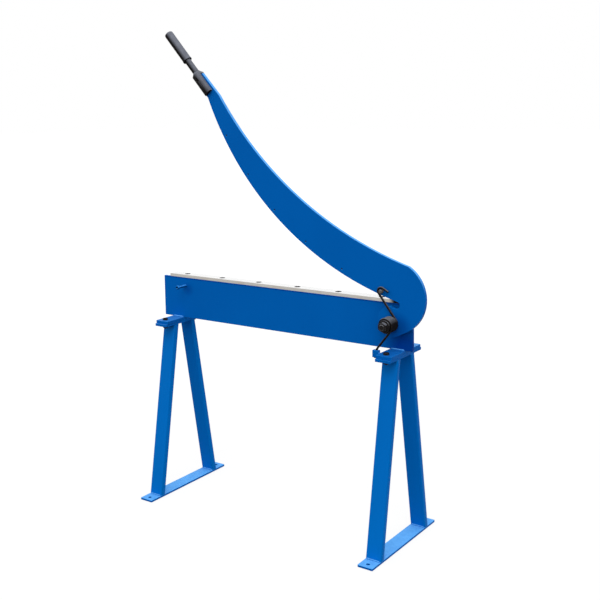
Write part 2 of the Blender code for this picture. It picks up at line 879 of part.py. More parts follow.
def upper_blade():
    """The curved blade behind the arm's edge, its screws and the long bolt that the spring hooks on."""
    start = edge_angle(upper_blade_start)
    end = edge_angle(upper_blade_start + upper_blade_length)
    outline = arc(edge_centre, edge_radius, start, end, blade_points)
    outline += arc(edge_centre, edge_radius - upper_blade_width, end, start, blade_points)
    strip = flat_curve("upper_blade", [outline], upper_blade_thickness)
    level = middle(upper_blade_front, upper_blade_rear)
    blade = as_mesh(add("upper_blade", strip, (0, level, 0), (math.radians(90), 0, 0)))
    blade.parent = arm_pivot

    screw_length = upper_blade_rear - arm_front - blade_screw_recess
    hook_length = upper_blade_rear - hook_bolt_front - clearance
    tool = countersunk_cutter(
        "blade_hole", screw_length, blade_screw_diameter, blade_screw_head, small_sides
    )
    seats = [behind_the_arm(place, upper_blade_rear) for place in blade_screw_places]
    holes = drill_set("blade_holes", tool, seats)
    holes.parent = arm_pivot
    cut(blade, holes)
    tool = countersunk_cutter("hook_hole", hook_length, hook_bolt_diameter, hook_bolt_head, small_sides)
    hole = drill_set("hook_hole", tool, [behind_the_arm(hook_bolt_place, upper_blade_rear)])
    hole.parent = arm_pivot
    cut(blade, hole)
    dress(blade, ground_steel)

    screw = countersunk_screw(
        "blade_screw",
        screw_length - clearance,
        blade_screw_diameter,
        blade_screw_head,
        blade_screw_key,
        blade_screw_key_depth,
        small_sides,
    )
    seats = [behind_the_arm(place, upper_blade_rear - clearance) for place in blade_screw_places]
    names = [f"upper_blade_screw_{index + 1}" for index in range(blade_screw_count)]
    fasteners(names, screw, seats, black_oxide, arm_pivot)
    bolt = countersunk_screw(
        "hook_bolt",
        hook_length,
        hook_bolt_diameter,
        hook_bolt_head,
        hook_bolt_key,
        hook_bolt_key_depth,
        small_sides,
    )
    seats = [behind_the_arm(hook_bolt_place, upper_blade_rear - clearance)]
    fasteners(["spring_hook_bolt"], bolt, seats, black_oxide, arm_pivot)


def handle():
    """The clevis that holds the arm's tongue, the rod screwed into it and the grip on the rod."""
    socket_base = socket_tip_gap
    socket_top = socket_base + socket_length
    socket_radius = socket_diameter / 2
    profile = [
        (0, socket_top),
        (socket_cone_top / 2, socket_top),
        (socket_radius, socket_top - socket_cone),
        (socket_radius, socket_base + socket_end_chamfer),
        (socket_radius - socket_end_chamfer, socket_base),
        (0, socket_base),
    ]
    socket = turned("handle_socket", profile, large_sides, parent=handle_axis)
    flats = block(
        "socket_flats_trim",
        (-socket_flats / 2, -socket_diameter, 0),
        (socket_flats / 2, socket_diameter, socket_top + cut_overrun),
        handle_axis,
        cutters,
    )
    cut(socket, flats, "INTERSECT")
    slot_half_width = arm_thickness / 2 + clearance
    slot = block(
        "tongue_slot",
        (-socket_diameter, -slot_half_width, socket_base - cut_overrun),
        (socket_diameter, slot_half_width, tongue_length + clearance),
        handle_axis,
        cutters,
    )
    cut(socket, slot)
    stub_base = socket_top - rod_stub_length
    bore_radius = rod_stub_diameter / 2 + clearance
    bore_profile = [
        (0, socket_top + cut_overrun),
        (bore_radius, socket_top + cut_overrun),
        (bore_radius, stub_base - clearance),
        (0, stub_base - clearance),
    ]
    cut(socket, turned("rod_bore", bore_profile, small_sides, parent=handle_axis, group=cutters))
    screw_radius = set_screw_diameter / 2
    screw_hole = [
        (0, socket_diameter),
        (screw_radius + clearance, socket_diameter),
        (screw_radius + clearance, 0),
        (0, 0),
    ]
    facing = (math.radians(90), 0, 0)
    screw_place = (0, 0, set_screw_from_tip)
    hole = turned(
        "set_screw_hole",
        screw_hole,
        small_sides,
        location=screw_place,
        rotation=facing,
        parent=handle_axis,
        group=cutters,
    )
    cut(socket, hole)
    dress(socket, black_oxide)

    screw_top = socket_radius - set_screw_recess
    screw_profile = chamfered(screw_top, slot_half_width, screw_radius, ring_chamfer)
    screw = turned(
        "handle_set_screw",
        screw_profile,
        small_sides,
        location=screw_place,
        rotation=facing,
        parent=handle_axis,
    )
    key_top = screw_top + cut_overrun
    key_floor = screw_top - set_screw_key_depth
    key = hex_prism("set_screw_socket", set_screw_key, key_floor, key_top, handle_axis, cutters)
    key.location = screw_place
    key.rotation_euler = facing
    dress(cut(screw, key), black_oxide)

    rod_base = socket_top + clearance
    grip_base = rod_base + rod_neck_length
    grip_top = grip_base + grip_length
    rod_top = grip_top - grip_end_wall - clearance
    rod_radius = rod_diameter / 2
    stub_radius = rod_stub_diameter / 2
    rod_profile = [
        (0, rod_top),
        (rod_radius - ring_chamfer, rod_top),
        (rod_radius, rod_top - ring_chamfer),
        (rod_radius, rod_base),
        (stub_radius, rod_base),
        (stub_radius, stub_base),
        (0, stub_base),
    ]
    dress(turned("handle_rod", rod_profile, large_sides, parent=handle_axis), black_oxide)

    grip_radius = grip_diameter / 2
    lip_radius = grip_lip_diameter / 2
    grip_bore = rod_radius + clearance
    grip_profile = [(0, grip_top)]
    end_centre = Vector((grip_radius - grip_end_radius, grip_top - grip_end_radius))
    grip_profile += [tuple(point) for point in arc(end_centre, grip_end_radius, 90, 0, corner_sides + 1)]
    grip_profile += [
        (grip_radius, grip_base + grip_lip_length + grip_lip_taper),
        (lip_radius, grip_base + grip_lip_length),
        (lip_radius, grip_base),
        (grip_bore, grip_base),
        (grip_bore, grip_top - grip_end_wall),
        (0, grip_top - grip_end_wall),
    ]
    dress(turned("handle_grip", grip_profile, large_sides, parent=handle_axis), black_plastic)


def spring_lug():
    """The block welded to the left edge of the right foot plate, drilled for the spring's end."""
    lug_right = right_stand_x - shear_foot_width / 2 - clearance
    lug_top = shear_foot_top + lug_rise
    lug_y = beam_front - lug_from_beam
    lug = block(
        "spring_lug",
        (lug_right - lug_width, lug_y - lug_depth / 2, lug_top - lug_height),
        (lug_right, lug_y + lug_depth / 2, lug_top),
    )
    ease_edges(lug, plate_edge)
    # The hole leans to the right, towards the coil, and its tool passes both faces of the lug
    hole_centre = Vector((lug_right - lug_width / 2 + lug_hole_offset, lug_y, lug_top))
    hole_radius = wire_diameter / 2 + clearance
    depth = lug_height + lug_depth
    profile = [(0, lug_depth), (hole_radius, lug_depth), (hole_radius, -depth), (0, -depth)]
    lean = (0, math.radians(lug_hole_lean), 0)
    cut(lug, turned("lug_hole", profile, small_sides, location=hole_centre, rotation=lean, group=cutters))
    dress(lug, blue_paint)
    return hole_centre


def spring_path(lug_hole):
    """The centre line of the wire: tip, lug, lower leg, coil, upper leg and hook."""
    wire_radius = wire_diameter / 2
    # The chords between the coil's points clear the sleeve by the running gap
    chord_radius = sleeve_diameter / 2 + coil_running_gap + wire_radius
    coil_radius = chord_radius / math.cos(math.pi / coil_points_per_turn)
    coil_front = front_washer_rear + clearance + wire_radius
    coil_rear = arm_front - clearance - wire_radius
    hook_y = coil_rear - hook_plane_gap
    centre = Vector((pivot_x, pivot_z))

    # The hook bears on its bolt at one side and stands clear of it round the rest
    bolt_centre = centre + hook_bolt_place
    slack = hook_bend_radius - hook_bolt_diameter / 2 - wire_radius - clearance
    hook_centre = bolt_centre - slack * direction(hook_bear_angle)

    # The upper leg is the line that touches the coil on its right and the hook on its left
    rise = hook_centre - centre
    swing = math.degrees(math.acos((coil_radius + hook_bend_radius) / rise.length))
    leave_angle = math.degrees(math.atan2(rise.y, rise.x)) - swing

    # The lower leg runs from the top of the lug to touch the flared end of the coil on its right
    hole_up = direction(90 - lug_hole_lean)
    bend = Vector((lug_hole.x, lug_hole.z)) + lug_leg_length * hole_up
    drop = bend - centre
    flared_radius = coil_radius + coil_end_flare
    lower_swing = math.degrees(math.acos(flared_radius / drop.length))
    meet_angle = math.degrees(math.atan2(drop.y, drop.x)) + lower_swing
    meet = centre + flared_radius * direction(meet_angle)

    tip = Vector((lug_hole.x, lug_hole.z)) - (lug_height + spring_tip_length) * hole_up
    path = [Vector((tip.x, lug_hole.y, tip.y))]
    path.append(lug_hole.copy())
    leg = bend - meet
    flat_end = meet + leg.normalized() * lower_leg_flat_run
    bend_point = Vector((bend.x, lug_hole.y, bend.y))
    flat_point = Vector((flat_end.x, coil_front, flat_end.y))
    # The wire turns out of the lug through a short eased bend
    after_bend = bend_point.lerp(flat_point, wire_diameter / (flat_point - bend_point).length)
    for index in range(lower_leg_bend_points):
        share = (index + 1) / (lower_leg_bend_points + 1)
        path.append(path[1].lerp(bend_point, share).lerp(bend_point.lerp(after_bend, share), share))
    path.append(after_bend)
    path.append(flat_point)

    sweep = (leave_angle - meet_angle) % 360 + 360 * coil_turns
    steps = round(sweep / 360 * coil_points_per_turn)
    for index in range(steps + 1):
        share = index / steps
        flare = coil_end_flare * max(0, 1 - index / coil_flare_points) ** 2
        point = centre + (coil_radius + flare) * direction(meet_angle + sweep * share)
        path.append(Vector((point.x, coil_front + (coil_rear - coil_front) * share, point.y)))

    for point in arc(hook_centre, hook_bend_radius, leave_angle + 180, hook_end_angle, hook_points):
        path.append(Vector((point.x, hook_y, point.y)))
    tail = hook_tail * direction(hook_end_angle - 90)
    path.append(path[-1] + Vector((tail.x, 0, tail.y)))
    return path


def least_gap(path, diameter):
    """The least gap between stretches of one wire that lie more than three diameters apart along it."""
    travelled = [0]
    for before, after in zip(path, path[1:]):
        travelled.append(travelled[-1] + (after - before).length)
    gaps = [
        (path[first] - path[second]).length
        for first in range(len(path))
        for second in range(first + 1, len(path))
        if travelled[second] - travelled[first] > 3 * diameter
    ]
    return min(gaps) - diameter


def return_spring(lug_hole):
    """One unbroken wire wound on the sleeve."""
    path = spring_path(lug_hole)
    curve = bpy.data.curves.new("return_spring", "CURVE")
    curve.dimensions = "3D"
    curve.fill_mode = "FULL"
    curve.bevel_depth = wire_diameter / 2
    curve.bevel_resolution = 1
    curve.use_fill_caps = True
    curve.render_resolution_u = 0
    spline = curve.splines.new("POLY")
    spline.points.add(len(path) - 1)
    for point, place in zip(spline.points, path):
        point.co = (*place, 1)
    dress(add("return_spring", curve), black_oxide)
    print(f"return spring: least gap to itself {least_gap(path, wire_diameter):.5f} m")


stand("left", left_stand_x)
stand("right", right_stand_x)
feet_of_the_shear()
bed_flange = beam()
lower_blade(bed_flange)
stop_screw()
pivot()
arm_plate()
upper_blade()
handle()
return_spring(spring_lug())
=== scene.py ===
"""The looks of a lever guillotine shear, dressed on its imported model.

Lengths are metres. X runs along the beam, -Y is the operator's side and +Z is up. Pieces
are made in the order in which the shear is put together, from the floor to the handle.
"""
import math

import bmesh
import bpy
from mathutils import Matrix, Vector, noise


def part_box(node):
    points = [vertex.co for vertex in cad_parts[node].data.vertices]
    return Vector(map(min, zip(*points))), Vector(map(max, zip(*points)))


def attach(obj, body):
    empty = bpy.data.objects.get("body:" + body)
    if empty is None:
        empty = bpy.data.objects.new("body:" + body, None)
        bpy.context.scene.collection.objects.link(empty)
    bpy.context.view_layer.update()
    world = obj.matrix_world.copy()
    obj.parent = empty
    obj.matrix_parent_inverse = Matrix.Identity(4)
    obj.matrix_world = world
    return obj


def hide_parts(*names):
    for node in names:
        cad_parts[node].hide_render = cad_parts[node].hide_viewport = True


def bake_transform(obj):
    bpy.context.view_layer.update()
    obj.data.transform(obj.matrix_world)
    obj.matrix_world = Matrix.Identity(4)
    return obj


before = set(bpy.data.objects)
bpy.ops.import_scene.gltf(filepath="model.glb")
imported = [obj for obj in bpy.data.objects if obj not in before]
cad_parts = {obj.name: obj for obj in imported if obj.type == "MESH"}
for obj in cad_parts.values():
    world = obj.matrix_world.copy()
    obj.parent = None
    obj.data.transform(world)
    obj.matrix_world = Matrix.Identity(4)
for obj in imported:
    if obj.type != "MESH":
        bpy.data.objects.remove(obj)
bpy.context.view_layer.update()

# Foot bars. Each stand stands on a flat bar, punched near both ends for floor bolts. The
# bars are hot-rolled, cut and deburred, and sprayed with the rest of the frame in a blue
# machine enamel, which lies a little thinner on the edges. The bars' tops and upper edges
# carry a painted highlight.
enamel_fresh = (0.0, 0.116, 0.462)
enamel_deep = (0.0, 0.106, 0.430)
# A paler blue laid on upward faces: a painted highlight, where light falls on the tops.
enamel_top_lit = (0.110, 0.395, 0.860)
# Thin paint on edges, and also a painted highlight where the edges look up.
enamel_thin_and_lit = (0.030, 0.260, 0.720)
# A dark blue for painted shade.
enamel_shade = (0.0, 0.032, 0.250)
enamel_cloud_size = 0.35
enamel_peel_size = 0.0022
enamel_edge_width = 0.0022
bar_ease = 0.0008
flat_angle = math.radians(0.3)
crease_angle = math.radians(38)
corner_angle = math.radians(40)
same_point = 0.00001


def grow(tree, kind, feeds=(), **settings):
    """Adds a shader node, sets it, and feeds its sockets with values or with other outputs."""
    made = tree.nodes.new("ShaderNode" + kind)
    for name, value in settings.items():
        setattr(made, name, value)
    for socket, value in dict(feeds).items():
        if isinstance(value, bpy.types.NodeSocket):
            tree.links.new(value, made.inputs[socket])
        else:
            made.inputs[socket].default_value = value
    return made


def new_finish(name, metallic, specular):
    """A material, its node tree and its shader."""
    material = bpy.data.materials.new(name)
    material.use_nodes = True
    shader = material.node_tree.nodes["Principled BSDF"]
    shader.inputs["Metallic"].default_value = metallic
    shader.inputs["Specular IOR Level"].default_value = specular
    return material, material.node_tree, shader


def on_piece(tree, stretch=(1, 1, 1)):
    """Places on the piece in metres, stretched along its axes."""
    place = grow(tree, "TexCoord").outputs["Object"]
    return grow(tree, "Mapping", {"Vector": place, "Scale": stretch}).outputs["Vector"]


def cloud(tree, place, size, detail=2.0):
    """Soft irregular patches of about the given size, from 0 to 1."""
    feeds = {"Vector": place, "Scale": 1 / size, "Detail": detail}
    return grow(tree, "TexNoise", feeds).outputs["Fac"]


def scaled(tree, share, low, high, start=0.0, end=1.0):
    """The share's stretch from start to end, turned into values from low to high."""
    feeds = {"Value": share, "From Min": start, "From Max": end, "To Min": low, "To Max": high}
    return grow(tree, "MapRange", feeds).outputs["Result"]


def tinted(tree, share, first, second):
    """A colour between two others."""
    mix = grow(tree, "Mix", {0: share}, data_type="RGBA")
    for socket, colour in ((6, first), (7, second)):
        if isinstance(colour, bpy.types.NodeSocket):
            tree.links.new(colour, mix.inputs[socket])
        else:
            mix.inputs[socket].default_value = (*colour, 1)
    return mix.outputs[2]


def times(tree, first, second):
    """The product of two values."""
    return grow(tree, "Math", {0: first, 1: second}, operation="MULTIPLY").outputs[0]


def on_edges(tree, width):
    """1 on outer edges narrower than the width, and 0 on faces."""
    rounded = grow(tree, "Bevel", {"Radius": width}, samples=6).outputs["Normal"]
    straight = grow(tree, "NewGeometry").outputs["Normal"]
    both = {0: rounded, 1: straight}
    facing = grow(tree, "VectorMath", both, operation="DOT_PRODUCT").outputs["Value"]
    return scaled(tree, facing, 1.0, 0.0, 0.90, 0.995)


def rounded_slope(tree, width):
    """How far the edges look up, once rounded by a width. It is the slope of the face elsewhere."""
    rounded = grow(tree, "Bevel", {"Radius": width}, samples=6).outputs["Normal"]
    return grow(tree, "SeparateXYZ", {0: rounded}).outputs["Z"]


def raised(tree, shader, height, distance, strength=1.0):
    """Bumps the surface by a height from 0 to 1, over a real distance."""
    before = shader.inputs["Normal"].links
    feeds = {"Height": height, "Distance": distance, "Strength": strength}
    if before:
        feeds["Normal"] = before[0].from_socket
    tree.links.new(grow(tree, "Bump", feeds).outputs["Normal"], shader.inputs["Normal"])


def facing_up(tree, start=0.15, end=0.65):
    """1 on faces that look up, 0 on those that don't. A level face's slope is 1, an upright one's 0."""
    normal = grow(tree, "NewGeometry").outputs["Normal"]
    return scaled(tree, grow(tree, "SeparateXYZ", {0: normal}).outputs["Z"], 0, 1, start, end)


def near(tree, place, point, full, none):
    """1 within a distance of a point, falling to 0 at a larger distance."""
    gap = grow(tree, "VectorMath", {0: place, 1: point}, operation="DISTANCE").outputs["Value"]
    return scaled(tree, gap, 1, 0, full, none)


def most(tree, first, *others):
    """The largest of some values."""
    for other in others:
        first = grow(tree, "Math", {0: first, 1: other}, operation="MAXIMUM").outputs[0]
    return first


def no_painted_light(tree, place):
    """No painted shade, and painted top light everywhere."""
    return 0.0, 1.0


def blue_enamel(
    name, top_light_share, fresh=enamel_fresh, deep=enamel_deep, shade_and_sheen_at=no_painted_light, shade_colour=enamel_shade
):
    """Sprayed enamel: clouds, orange peel, thin edges, painted highlights on top, and painted shade."""
    material, tree, shader = new_finish(name, 0.0, 0.015)
    place = on_piece(tree)
    shade_here, sheen_here = shade_and_sheen_at(tree, place)
    clouds = cloud(tree, place, enamel_cloud_size, 3.0)
    colour = tinted(tree, scaled(tree, clouds, 0, 1, 0.3, 0.7), deep, fresh)
    patches = scaled(tree, cloud(tree, place, 0.02, 4.0), 0.8 * top_light_share, top_light_share, 0.3, 0.7)
    # Painted highlight: upward faces turn paler blue, standing in for the light that falls on them.
    sheen = times(tree, times(tree, facing_up(tree), patches), sheen_here)
    colour = tinted(tree, sheen, colour, enamel_top_lit)
    # Thinner paint on worn edges, lightened only where the edges look up: partly real wear, partly a
    # painted highlight.
    upper = scaled(tree, rounded_slope(tree, enamel_edge_width), 0.1, 1.0, 0.05, 0.5)
    wear = scaled(tree, cloud(tree, place, 0.01), 0.3, 0.9)
    edge = times(tree, on_edges(tree, enamel_edge_width), wear)
    colour = tinted(tree, times(tree, edge, upper), colour, enamel_thin_and_lit)
    # Painted shade: faces that don't look up are darkened where the patches ask for it.
    upright = scaled(tree, facing_up(tree), 1, 0)
    colour = tinted(tree, times(tree, upright, shade_here), colour, shade_colour)
    tree.links.new(colour, shader.inputs["Base Color"])
    gloss = scaled(tree, cloud(tree, place, 0.05, 4.0), 0.24, 0.36, 0.3, 0.7)
    tree.links.new(gloss, shader.inputs["Roughness"])
    raised(tree, shader, cloud(tree, place, enamel_peel_size, 1.0), 0.00006, 0.6)
    raised(tree, shader, cloud(tree, place, 0.03, 1.0), 0.0002, 0.5)
    return material


enamel = blue_enamel("blue_enamel", 0.15)
top_lit_enamel = blue_enamel("top_lit_blue_enamel", 1.0)


def ease_edges(piece, width, segments):
    """Rounds the corners of a piece by a small width."""
    rounded = piece.modifiers.new("eased_edges", "BEVEL")
    rounded.width = width
    rounded.segments = segments
    rounded.limit_method = "ANGLE"
    rounded.angle_limit = corner_angle


def keep(node, material, ease=0.0):
    """Keeps a node of the frame in view, in a better finish, and eases its edges where asked."""
    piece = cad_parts[node]
    piece.data.materials.clear()
    piece.data.materials.append(material)
    weld = piece.modifiers.new("joined_faces", "WELD")
    weld.merge_threshold = same_point
    piece.data.shade_smooth()
    if ease:
        flat = piece.modifiers.new("flat_faces_joined", "DECIMATE")
        flat.decimate_type = "DISSOLVE"
        flat.angle_limit = flat_angle
        ease_edges(piece, ease, 3)
        normals = piece.modifiers.new("flat_faces", "WEIGHTED_NORMAL")
        normals.keep_sharp = True
    else:
        sharp = piece.modifiers.new("sharp_edges", "EDGE_SPLIT")
        sharp.split_angle = crease_angle
    return piece


for side in ("left", "right"):
    keep(side + "_foot_bar", top_lit_enamel, bar_ease)

# Legs. Four pieces of rectangular tube, mitred level at both ends, lean together from the
# foot bar to the plate on top. Each is welded across its front and its back at both ends,
# and the beads are left as they were laid, under the enamel.
# The legs take a lighter copy of the frame's enamel: painted light, standing in for the light on the
# legs.
leg_lit_fresh = (0.0, 0.148, 0.540)
leg_lit_deep = (0.0, 0.138, 0.508)
leg_inset = 0.004
leg_bead_size = 0.0045
bead_step = 0.0009
bead_ripple = 0.0034
bead_lean = 0.0012
bead_root = 0.0004
same_level = 0.001


def as_piece(name, shape):
    """An object of a shape, linked to the scene."""
    bmesh.ops.recalc_face_normals(shape, faces=shape.faces)
    mesh = bpy.data.meshes.new(name)
    shape.to_mesh(mesh)
    shape.free()
    piece = bpy.data.objects.new(name, mesh)
    bpy.context.scene.collection.objects.link(piece)
    return piece


def coated(piece, material):
    """Gives a piece its finish, smooth up to its sharp edges."""
    piece.data.materials.append(material)
    piece.data.shade_smooth()
    piece.data.set_sharp_from_angle(angle=crease_angle)
    return piece


def seated(name, shape, material, slot, body, *nodes):
    """Makes a piece of a finished shape, which rides on its body and stands for its nodes."""
    piece = coated(as_piece(name, shape), material)
    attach(piece, body)
    if nodes:
        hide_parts(*nodes)
    return piece


def skin(shape, first, second, closed=True):
    """Joins two rows of points with faces."""
    count = len(first)
    for index in range(count if closed else count - 1):
        after = (index + 1) % count
        shape.faces.new((first[index], first[after], second[after], second[index]))


def weld_bead(name, start, end, out, up, size):
    """A bead along a straight inner corner, with the ripples of the puddle and round ends."""
    start, end, out, up = Vector(start), Vector(end), Vector(out).normalized(), Vector(up).normalized()
    length = (end - start).length
    stations = max(8, round(length / bead_step))
    shape = bmesh.new()
    rows = []
    for station in range(stations + 1):
        travel = length * station / stations
        near_end = min(travel, length - travel) / size
        swell = math.sqrt(max(0.0, 1 - max(0.0, 1 - near_end) ** 2)) * 0.98 + 0.02
        middle = start.lerp(end, station / stations)
        wander = noise.noise(middle * 90) * 0.10 + noise.noise(middle * 400) * 0.05
        reach = size * swell * (1 + wander)
        row = [middle - (out + up) * bead_root]
        for step in range(7):
            angle = math.radians(15 * step)
            lean = (travel + bead_lean * math.sin(2 * angle)) / bead_ripple
            ripple = 1 - 0.07 * abs(math.sin(math.pi * lean)) ** 0.6
            bulge = 0.80 + 0.06 * math.sin(2 * angle)
            row.append(middle + (out * math.cos(angle) + up * math.sin(angle)) * reach * bulge * ripple)
        rows.append([shape.verts.new(point) for point in row])
    for here, after in zip(rows, rows[1:]):
        skin(shape, here, after)
    shape.faces.new(rows[0])
    shape.faces.new(rows[-1])
    # Beads take the enamel with a full painted highlight on their upward slope.
    return seated(name, shape, top_lit_enamel, "blue_paint", "frame")


def faces_at(node, level):
    """The Y of both faces of a leg at the level of one of its ends."""
    points = [vertex.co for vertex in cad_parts[node].data.vertices]
    across = [point.y for point in points if abs(point.z - level) < same_level]
    return min(across), max(across)


lit_leg_enamel = blue_enamel("lit_leg_enamel", 0.15, leg_lit_fresh, leg_lit_deep)
for side in ("left", "right"):
    for place in ("front", "rear"):
        leg = f"{side}_{place}_leg"
        keep(leg, lit_leg_enamel)
        low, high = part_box(leg)
        for end, level, up in (("foot", low.z, 1), ("top", high.z, -1)):
            for face, y, out in zip(("near", "far"), faces_at(leg, level), (-1, 1)):
                weld_bead(
                    f"{leg}_{end}_{face}_bead",
                    (low.x + leg_inset, y, level),
                    (high.x - leg_inset, y, level),
                    (0, out, 0),
                    (0, 0, up),
                    leg_bead_size,
                )

# Top plates and foot plates. A plate closes each pair of legs, and the beam's own foot
# plate is bolted down onto it. Both are flame-cut flats with their edges dressed.
top_plate_ease = 0.0010
foot_plate_ease = 0.0012
# Painted light: the plates' painted highlight is weaker in front and weakest at the right, where the arm
# shades them.
sheen_left_share = 0.32
sheen_right_share = 0.06
sheen_span = 0.4
sheen_depth = 0.03


def plate_sheen(tree, place):
    """No painted shade. Painted top light is full behind the beam, and weakest in front at the pivot,
    under the arm.
    """
    across = grow(tree, "SeparateXYZ", {0: place}).outputs
    front = scaled(tree, across["X"], sheen_left_share, sheen_right_share, -sheen_span, sheen_span)
    return 0.0, scaled(tree, across["Y"], front, 1.0, 0.0, sheen_depth)


plate_enamel = blue_enamel("plate_enamel", 0.95, shade_and_sheen_at=plate_sheen)
for side in ("left", "right"):
    keep(side + "_stand_top_plate", plate_enamel, top_plate_ease)
    keep(side + "_shear_foot", plate_enamel, foot_plate_ease)

# Foot bolts. Four M12 hexagon bolts clamp the shear to its stands. They are blackened
# steel, with a washer face under the head, and their nuts sit under the top plates.
oxide_black = (0.008, 0.008, 0.009)
oxide_brown = (0.022, 0.017, 0.015)
oxide_rubbed = (0.21, 0.20, 0.20)
# A paler grey laid on upward faces: a painted highlight.
oxide_top_lit = (0.210, 0.222, 0.255)
oxide_edge_width = 0.0009
foot_bolt_flats = 0.019
foot_bolt_radius = 0.006
foot_bolt_pitch = 0.00175
foot_bolt_plain = 0.022
washer_face_height = 0.0005
hex_face_share = 0.475
thread_depth_share = 0.61
nut_lead = 0.0008
seating_gap = 0.0003
round_columns = 72


def black_oxide(name, rubbed_share, top_light_share, specular=0.06):
    """Hot-blackened steel: brown clouds in the black, a painted highlight on top, and rubbed brighter on
    its edges.
    """
    material, tree, shader = new_finish(name, 0.0, specular)
    place = on_piece(tree)
    clouds = scaled(tree, cloud(tree, place, 0.008, 4.0), 0, 1, 0.4, 0.75)
    colour = tinted(tree, clouds, oxide_black, oxide_brown)
    patches = scaled(tree, cloud(tree, place, 0.004), 0.3 * top_light_share, top_light_share, 0.3, 0.7)
    colour = tinted(tree, times(tree, facing_up(tree), patches), colour, oxide_top_lit)
    wear = scaled(tree, cloud(tree, place, 0.003), 0.1, 0.9)
    edges = times(tree, on_edges(tree, oxide_edge_width), wear)
    rub = most(tree, edges, times(tree, wear, rubbed_share))
    tree.links.new(tinted(tree, rub, colour, oxide_rubbed), shader.inputs["Base Color"])
    gloss = scaled(tree, cloud(tree, place, 0.004, 3.0), 0.34, 0.56, 0.3, 0.7)
    tree.links.new(gloss, shader.inputs["Roughness"])
    raised(tree, shader, cloud(tree, place, 0.0012, 3.0), 0.00005, 0.6)
    return material


oxide = black_oxide("black_oxide", 0.0, 0.9)
clean_oxide = black_oxide("clean_black_oxide", 0.0, 0.0, 0.01)


def lathe(profile_at, ring=False, columns=round_columns):
    """A shape turned about Z. Its profile, (radius, level) points, may change with the angle."""
    shape = bmesh.new()
    rows = []
    for column in range(columns):
        angle = 2 * math.pi * column / columns
        across = Vector((math.cos(angle), math.sin(angle), 0))
        places = [across * radius + Vector((0, 0, level)) for radius, level in profile_at(angle)]
        rows.append([shape.verts.new(place) for place in places])
    for here, after in zip(rows, rows[1:] + rows[:1]):
        skin(shape, here, after, ring)
    bmesh.ops.remove_doubles(shape, verts=shape.verts, dist=same_point / 10)
    return shape


def hexagon(angle, flats):
    """The radius of a hexagon at an angle."""
    off = (angle + math.pi / 6) % (math.pi / 3) - math.pi / 6
    return flats / 2 / math.cos(off)


def hex_side(angle, flats, high, low, washer_face=0.0):
    """The outer profile of a hexagon head or nut, chamfered round both of its faces."""
    corner = hexagon(angle, flats)
    face = hex_face_share * flats
    drop = (corner - face) * math.tan(math.radians(30))
    profile = [(face, high), (corner, high - drop)]
    if washer_face:
        return profile + [(corner, low + washer_face), (face, low + washer_face), (face, low)]
    return profile + [(corner, low + drop), (face, low)]


def thread(angle, radius, pitch, high, low, chamfer=0.0):
    """A screw thread from a high to a low level, run out by a chamfer at the low end."""
    depth = thread_depth_share * pitch
    count = math.ceil((high - low) / pitch * 6)
    rows = []
    for index in range(count + 1):
        level = high + (low - high) * index / count
        turn = (level / pitch - angle / (2 * math.pi)) % 1
        crest = radius - depth * max(0.0, 1 - 1.25 * abs(2 * turn - 1))
        rows.append((min(crest, radius - max(0.0, chamfer - (level - low))), level))
    return rows


def hex_bolt_profile(flats, head, radius, pitch, plain, end):
    """A hexagon bolt with its head standing on level 0 and a threaded end below."""

    def profile_at(angle):
        side = hex_side(angle, flats, head, 0, washer_face_height)
        threads = thread(angle, radius, pitch, -plain, end, 0.8 * pitch)
        return [(0, head), *side, (radius, 0), (radius, -plain), *threads, (0, end)]

    return profile_at


def hex_nut_profile(flats, high, low, bore):
    """A hexagon nut between two levels, with its bore led in."""

    def profile_at(angle):
        side = hex_side(angle, flats, high, low)
        led_in = bore + nut_lead
        return [(bore, high - nut_lead), (led_in, high), *side, (led_in, low), (bore, low + nut_lead)]

    return profile_at


def put(shape, place, axis=(0, 0, 1)):
    """Sets a turned shape at its place with its +Z along an axis."""
    turn = Vector(axis).to_track_quat("Z", "Y").to_matrix().to_4x4()
    bmesh.ops.transform(shape, matrix=Matrix.Translation(place) @ turn, verts=shape.verts)
    return shape


def centre_of(node):
    """The middle of a node's box."""
    low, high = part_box(node)
    return (low + high) / 2


for corner in ("left_front", "left_rear", "right_front", "right_rear"):
    low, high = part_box(corner + "_foot_bolt")
    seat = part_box(corner.split("_")[0] + "_shear_foot")[1].z + seating_gap
    centre = centre_of(corner + "_foot_bolt")
    head, end = high.z - seat, low.z - seat
    profile = hex_bolt_profile(
        foot_bolt_flats, head, foot_bolt_radius, foot_bolt_pitch, foot_bolt_plain, end
    )
    seated(
        corner + "_foot_bolt_threaded",
        put(lathe(profile), (centre.x, centre.y, seat)),
        clean_oxide,
        "black_oxide",
        "frame",
        corner + "_foot_bolt",
    )
    low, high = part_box(corner + "_foot_nut")
    profile = hex_nut_profile(foot_bolt_flats, high.z, low.z, foot_bolt_radius + seating_gap)
    seated(
        corner + "_foot_nut_chamfered",
        put(lathe(profile, ring=True), (centre.x, centre.y, 0)),
        oxide,
        "black_oxide",
        "frame",
        corner + "_foot_nut",
    )

# Beam. One deep plate on edge, with the bed's flat along the back of its top edge. It is
# welded down to its two foot plates front and back, and enamelled after the beads.
beam_bead_size = 0.0055
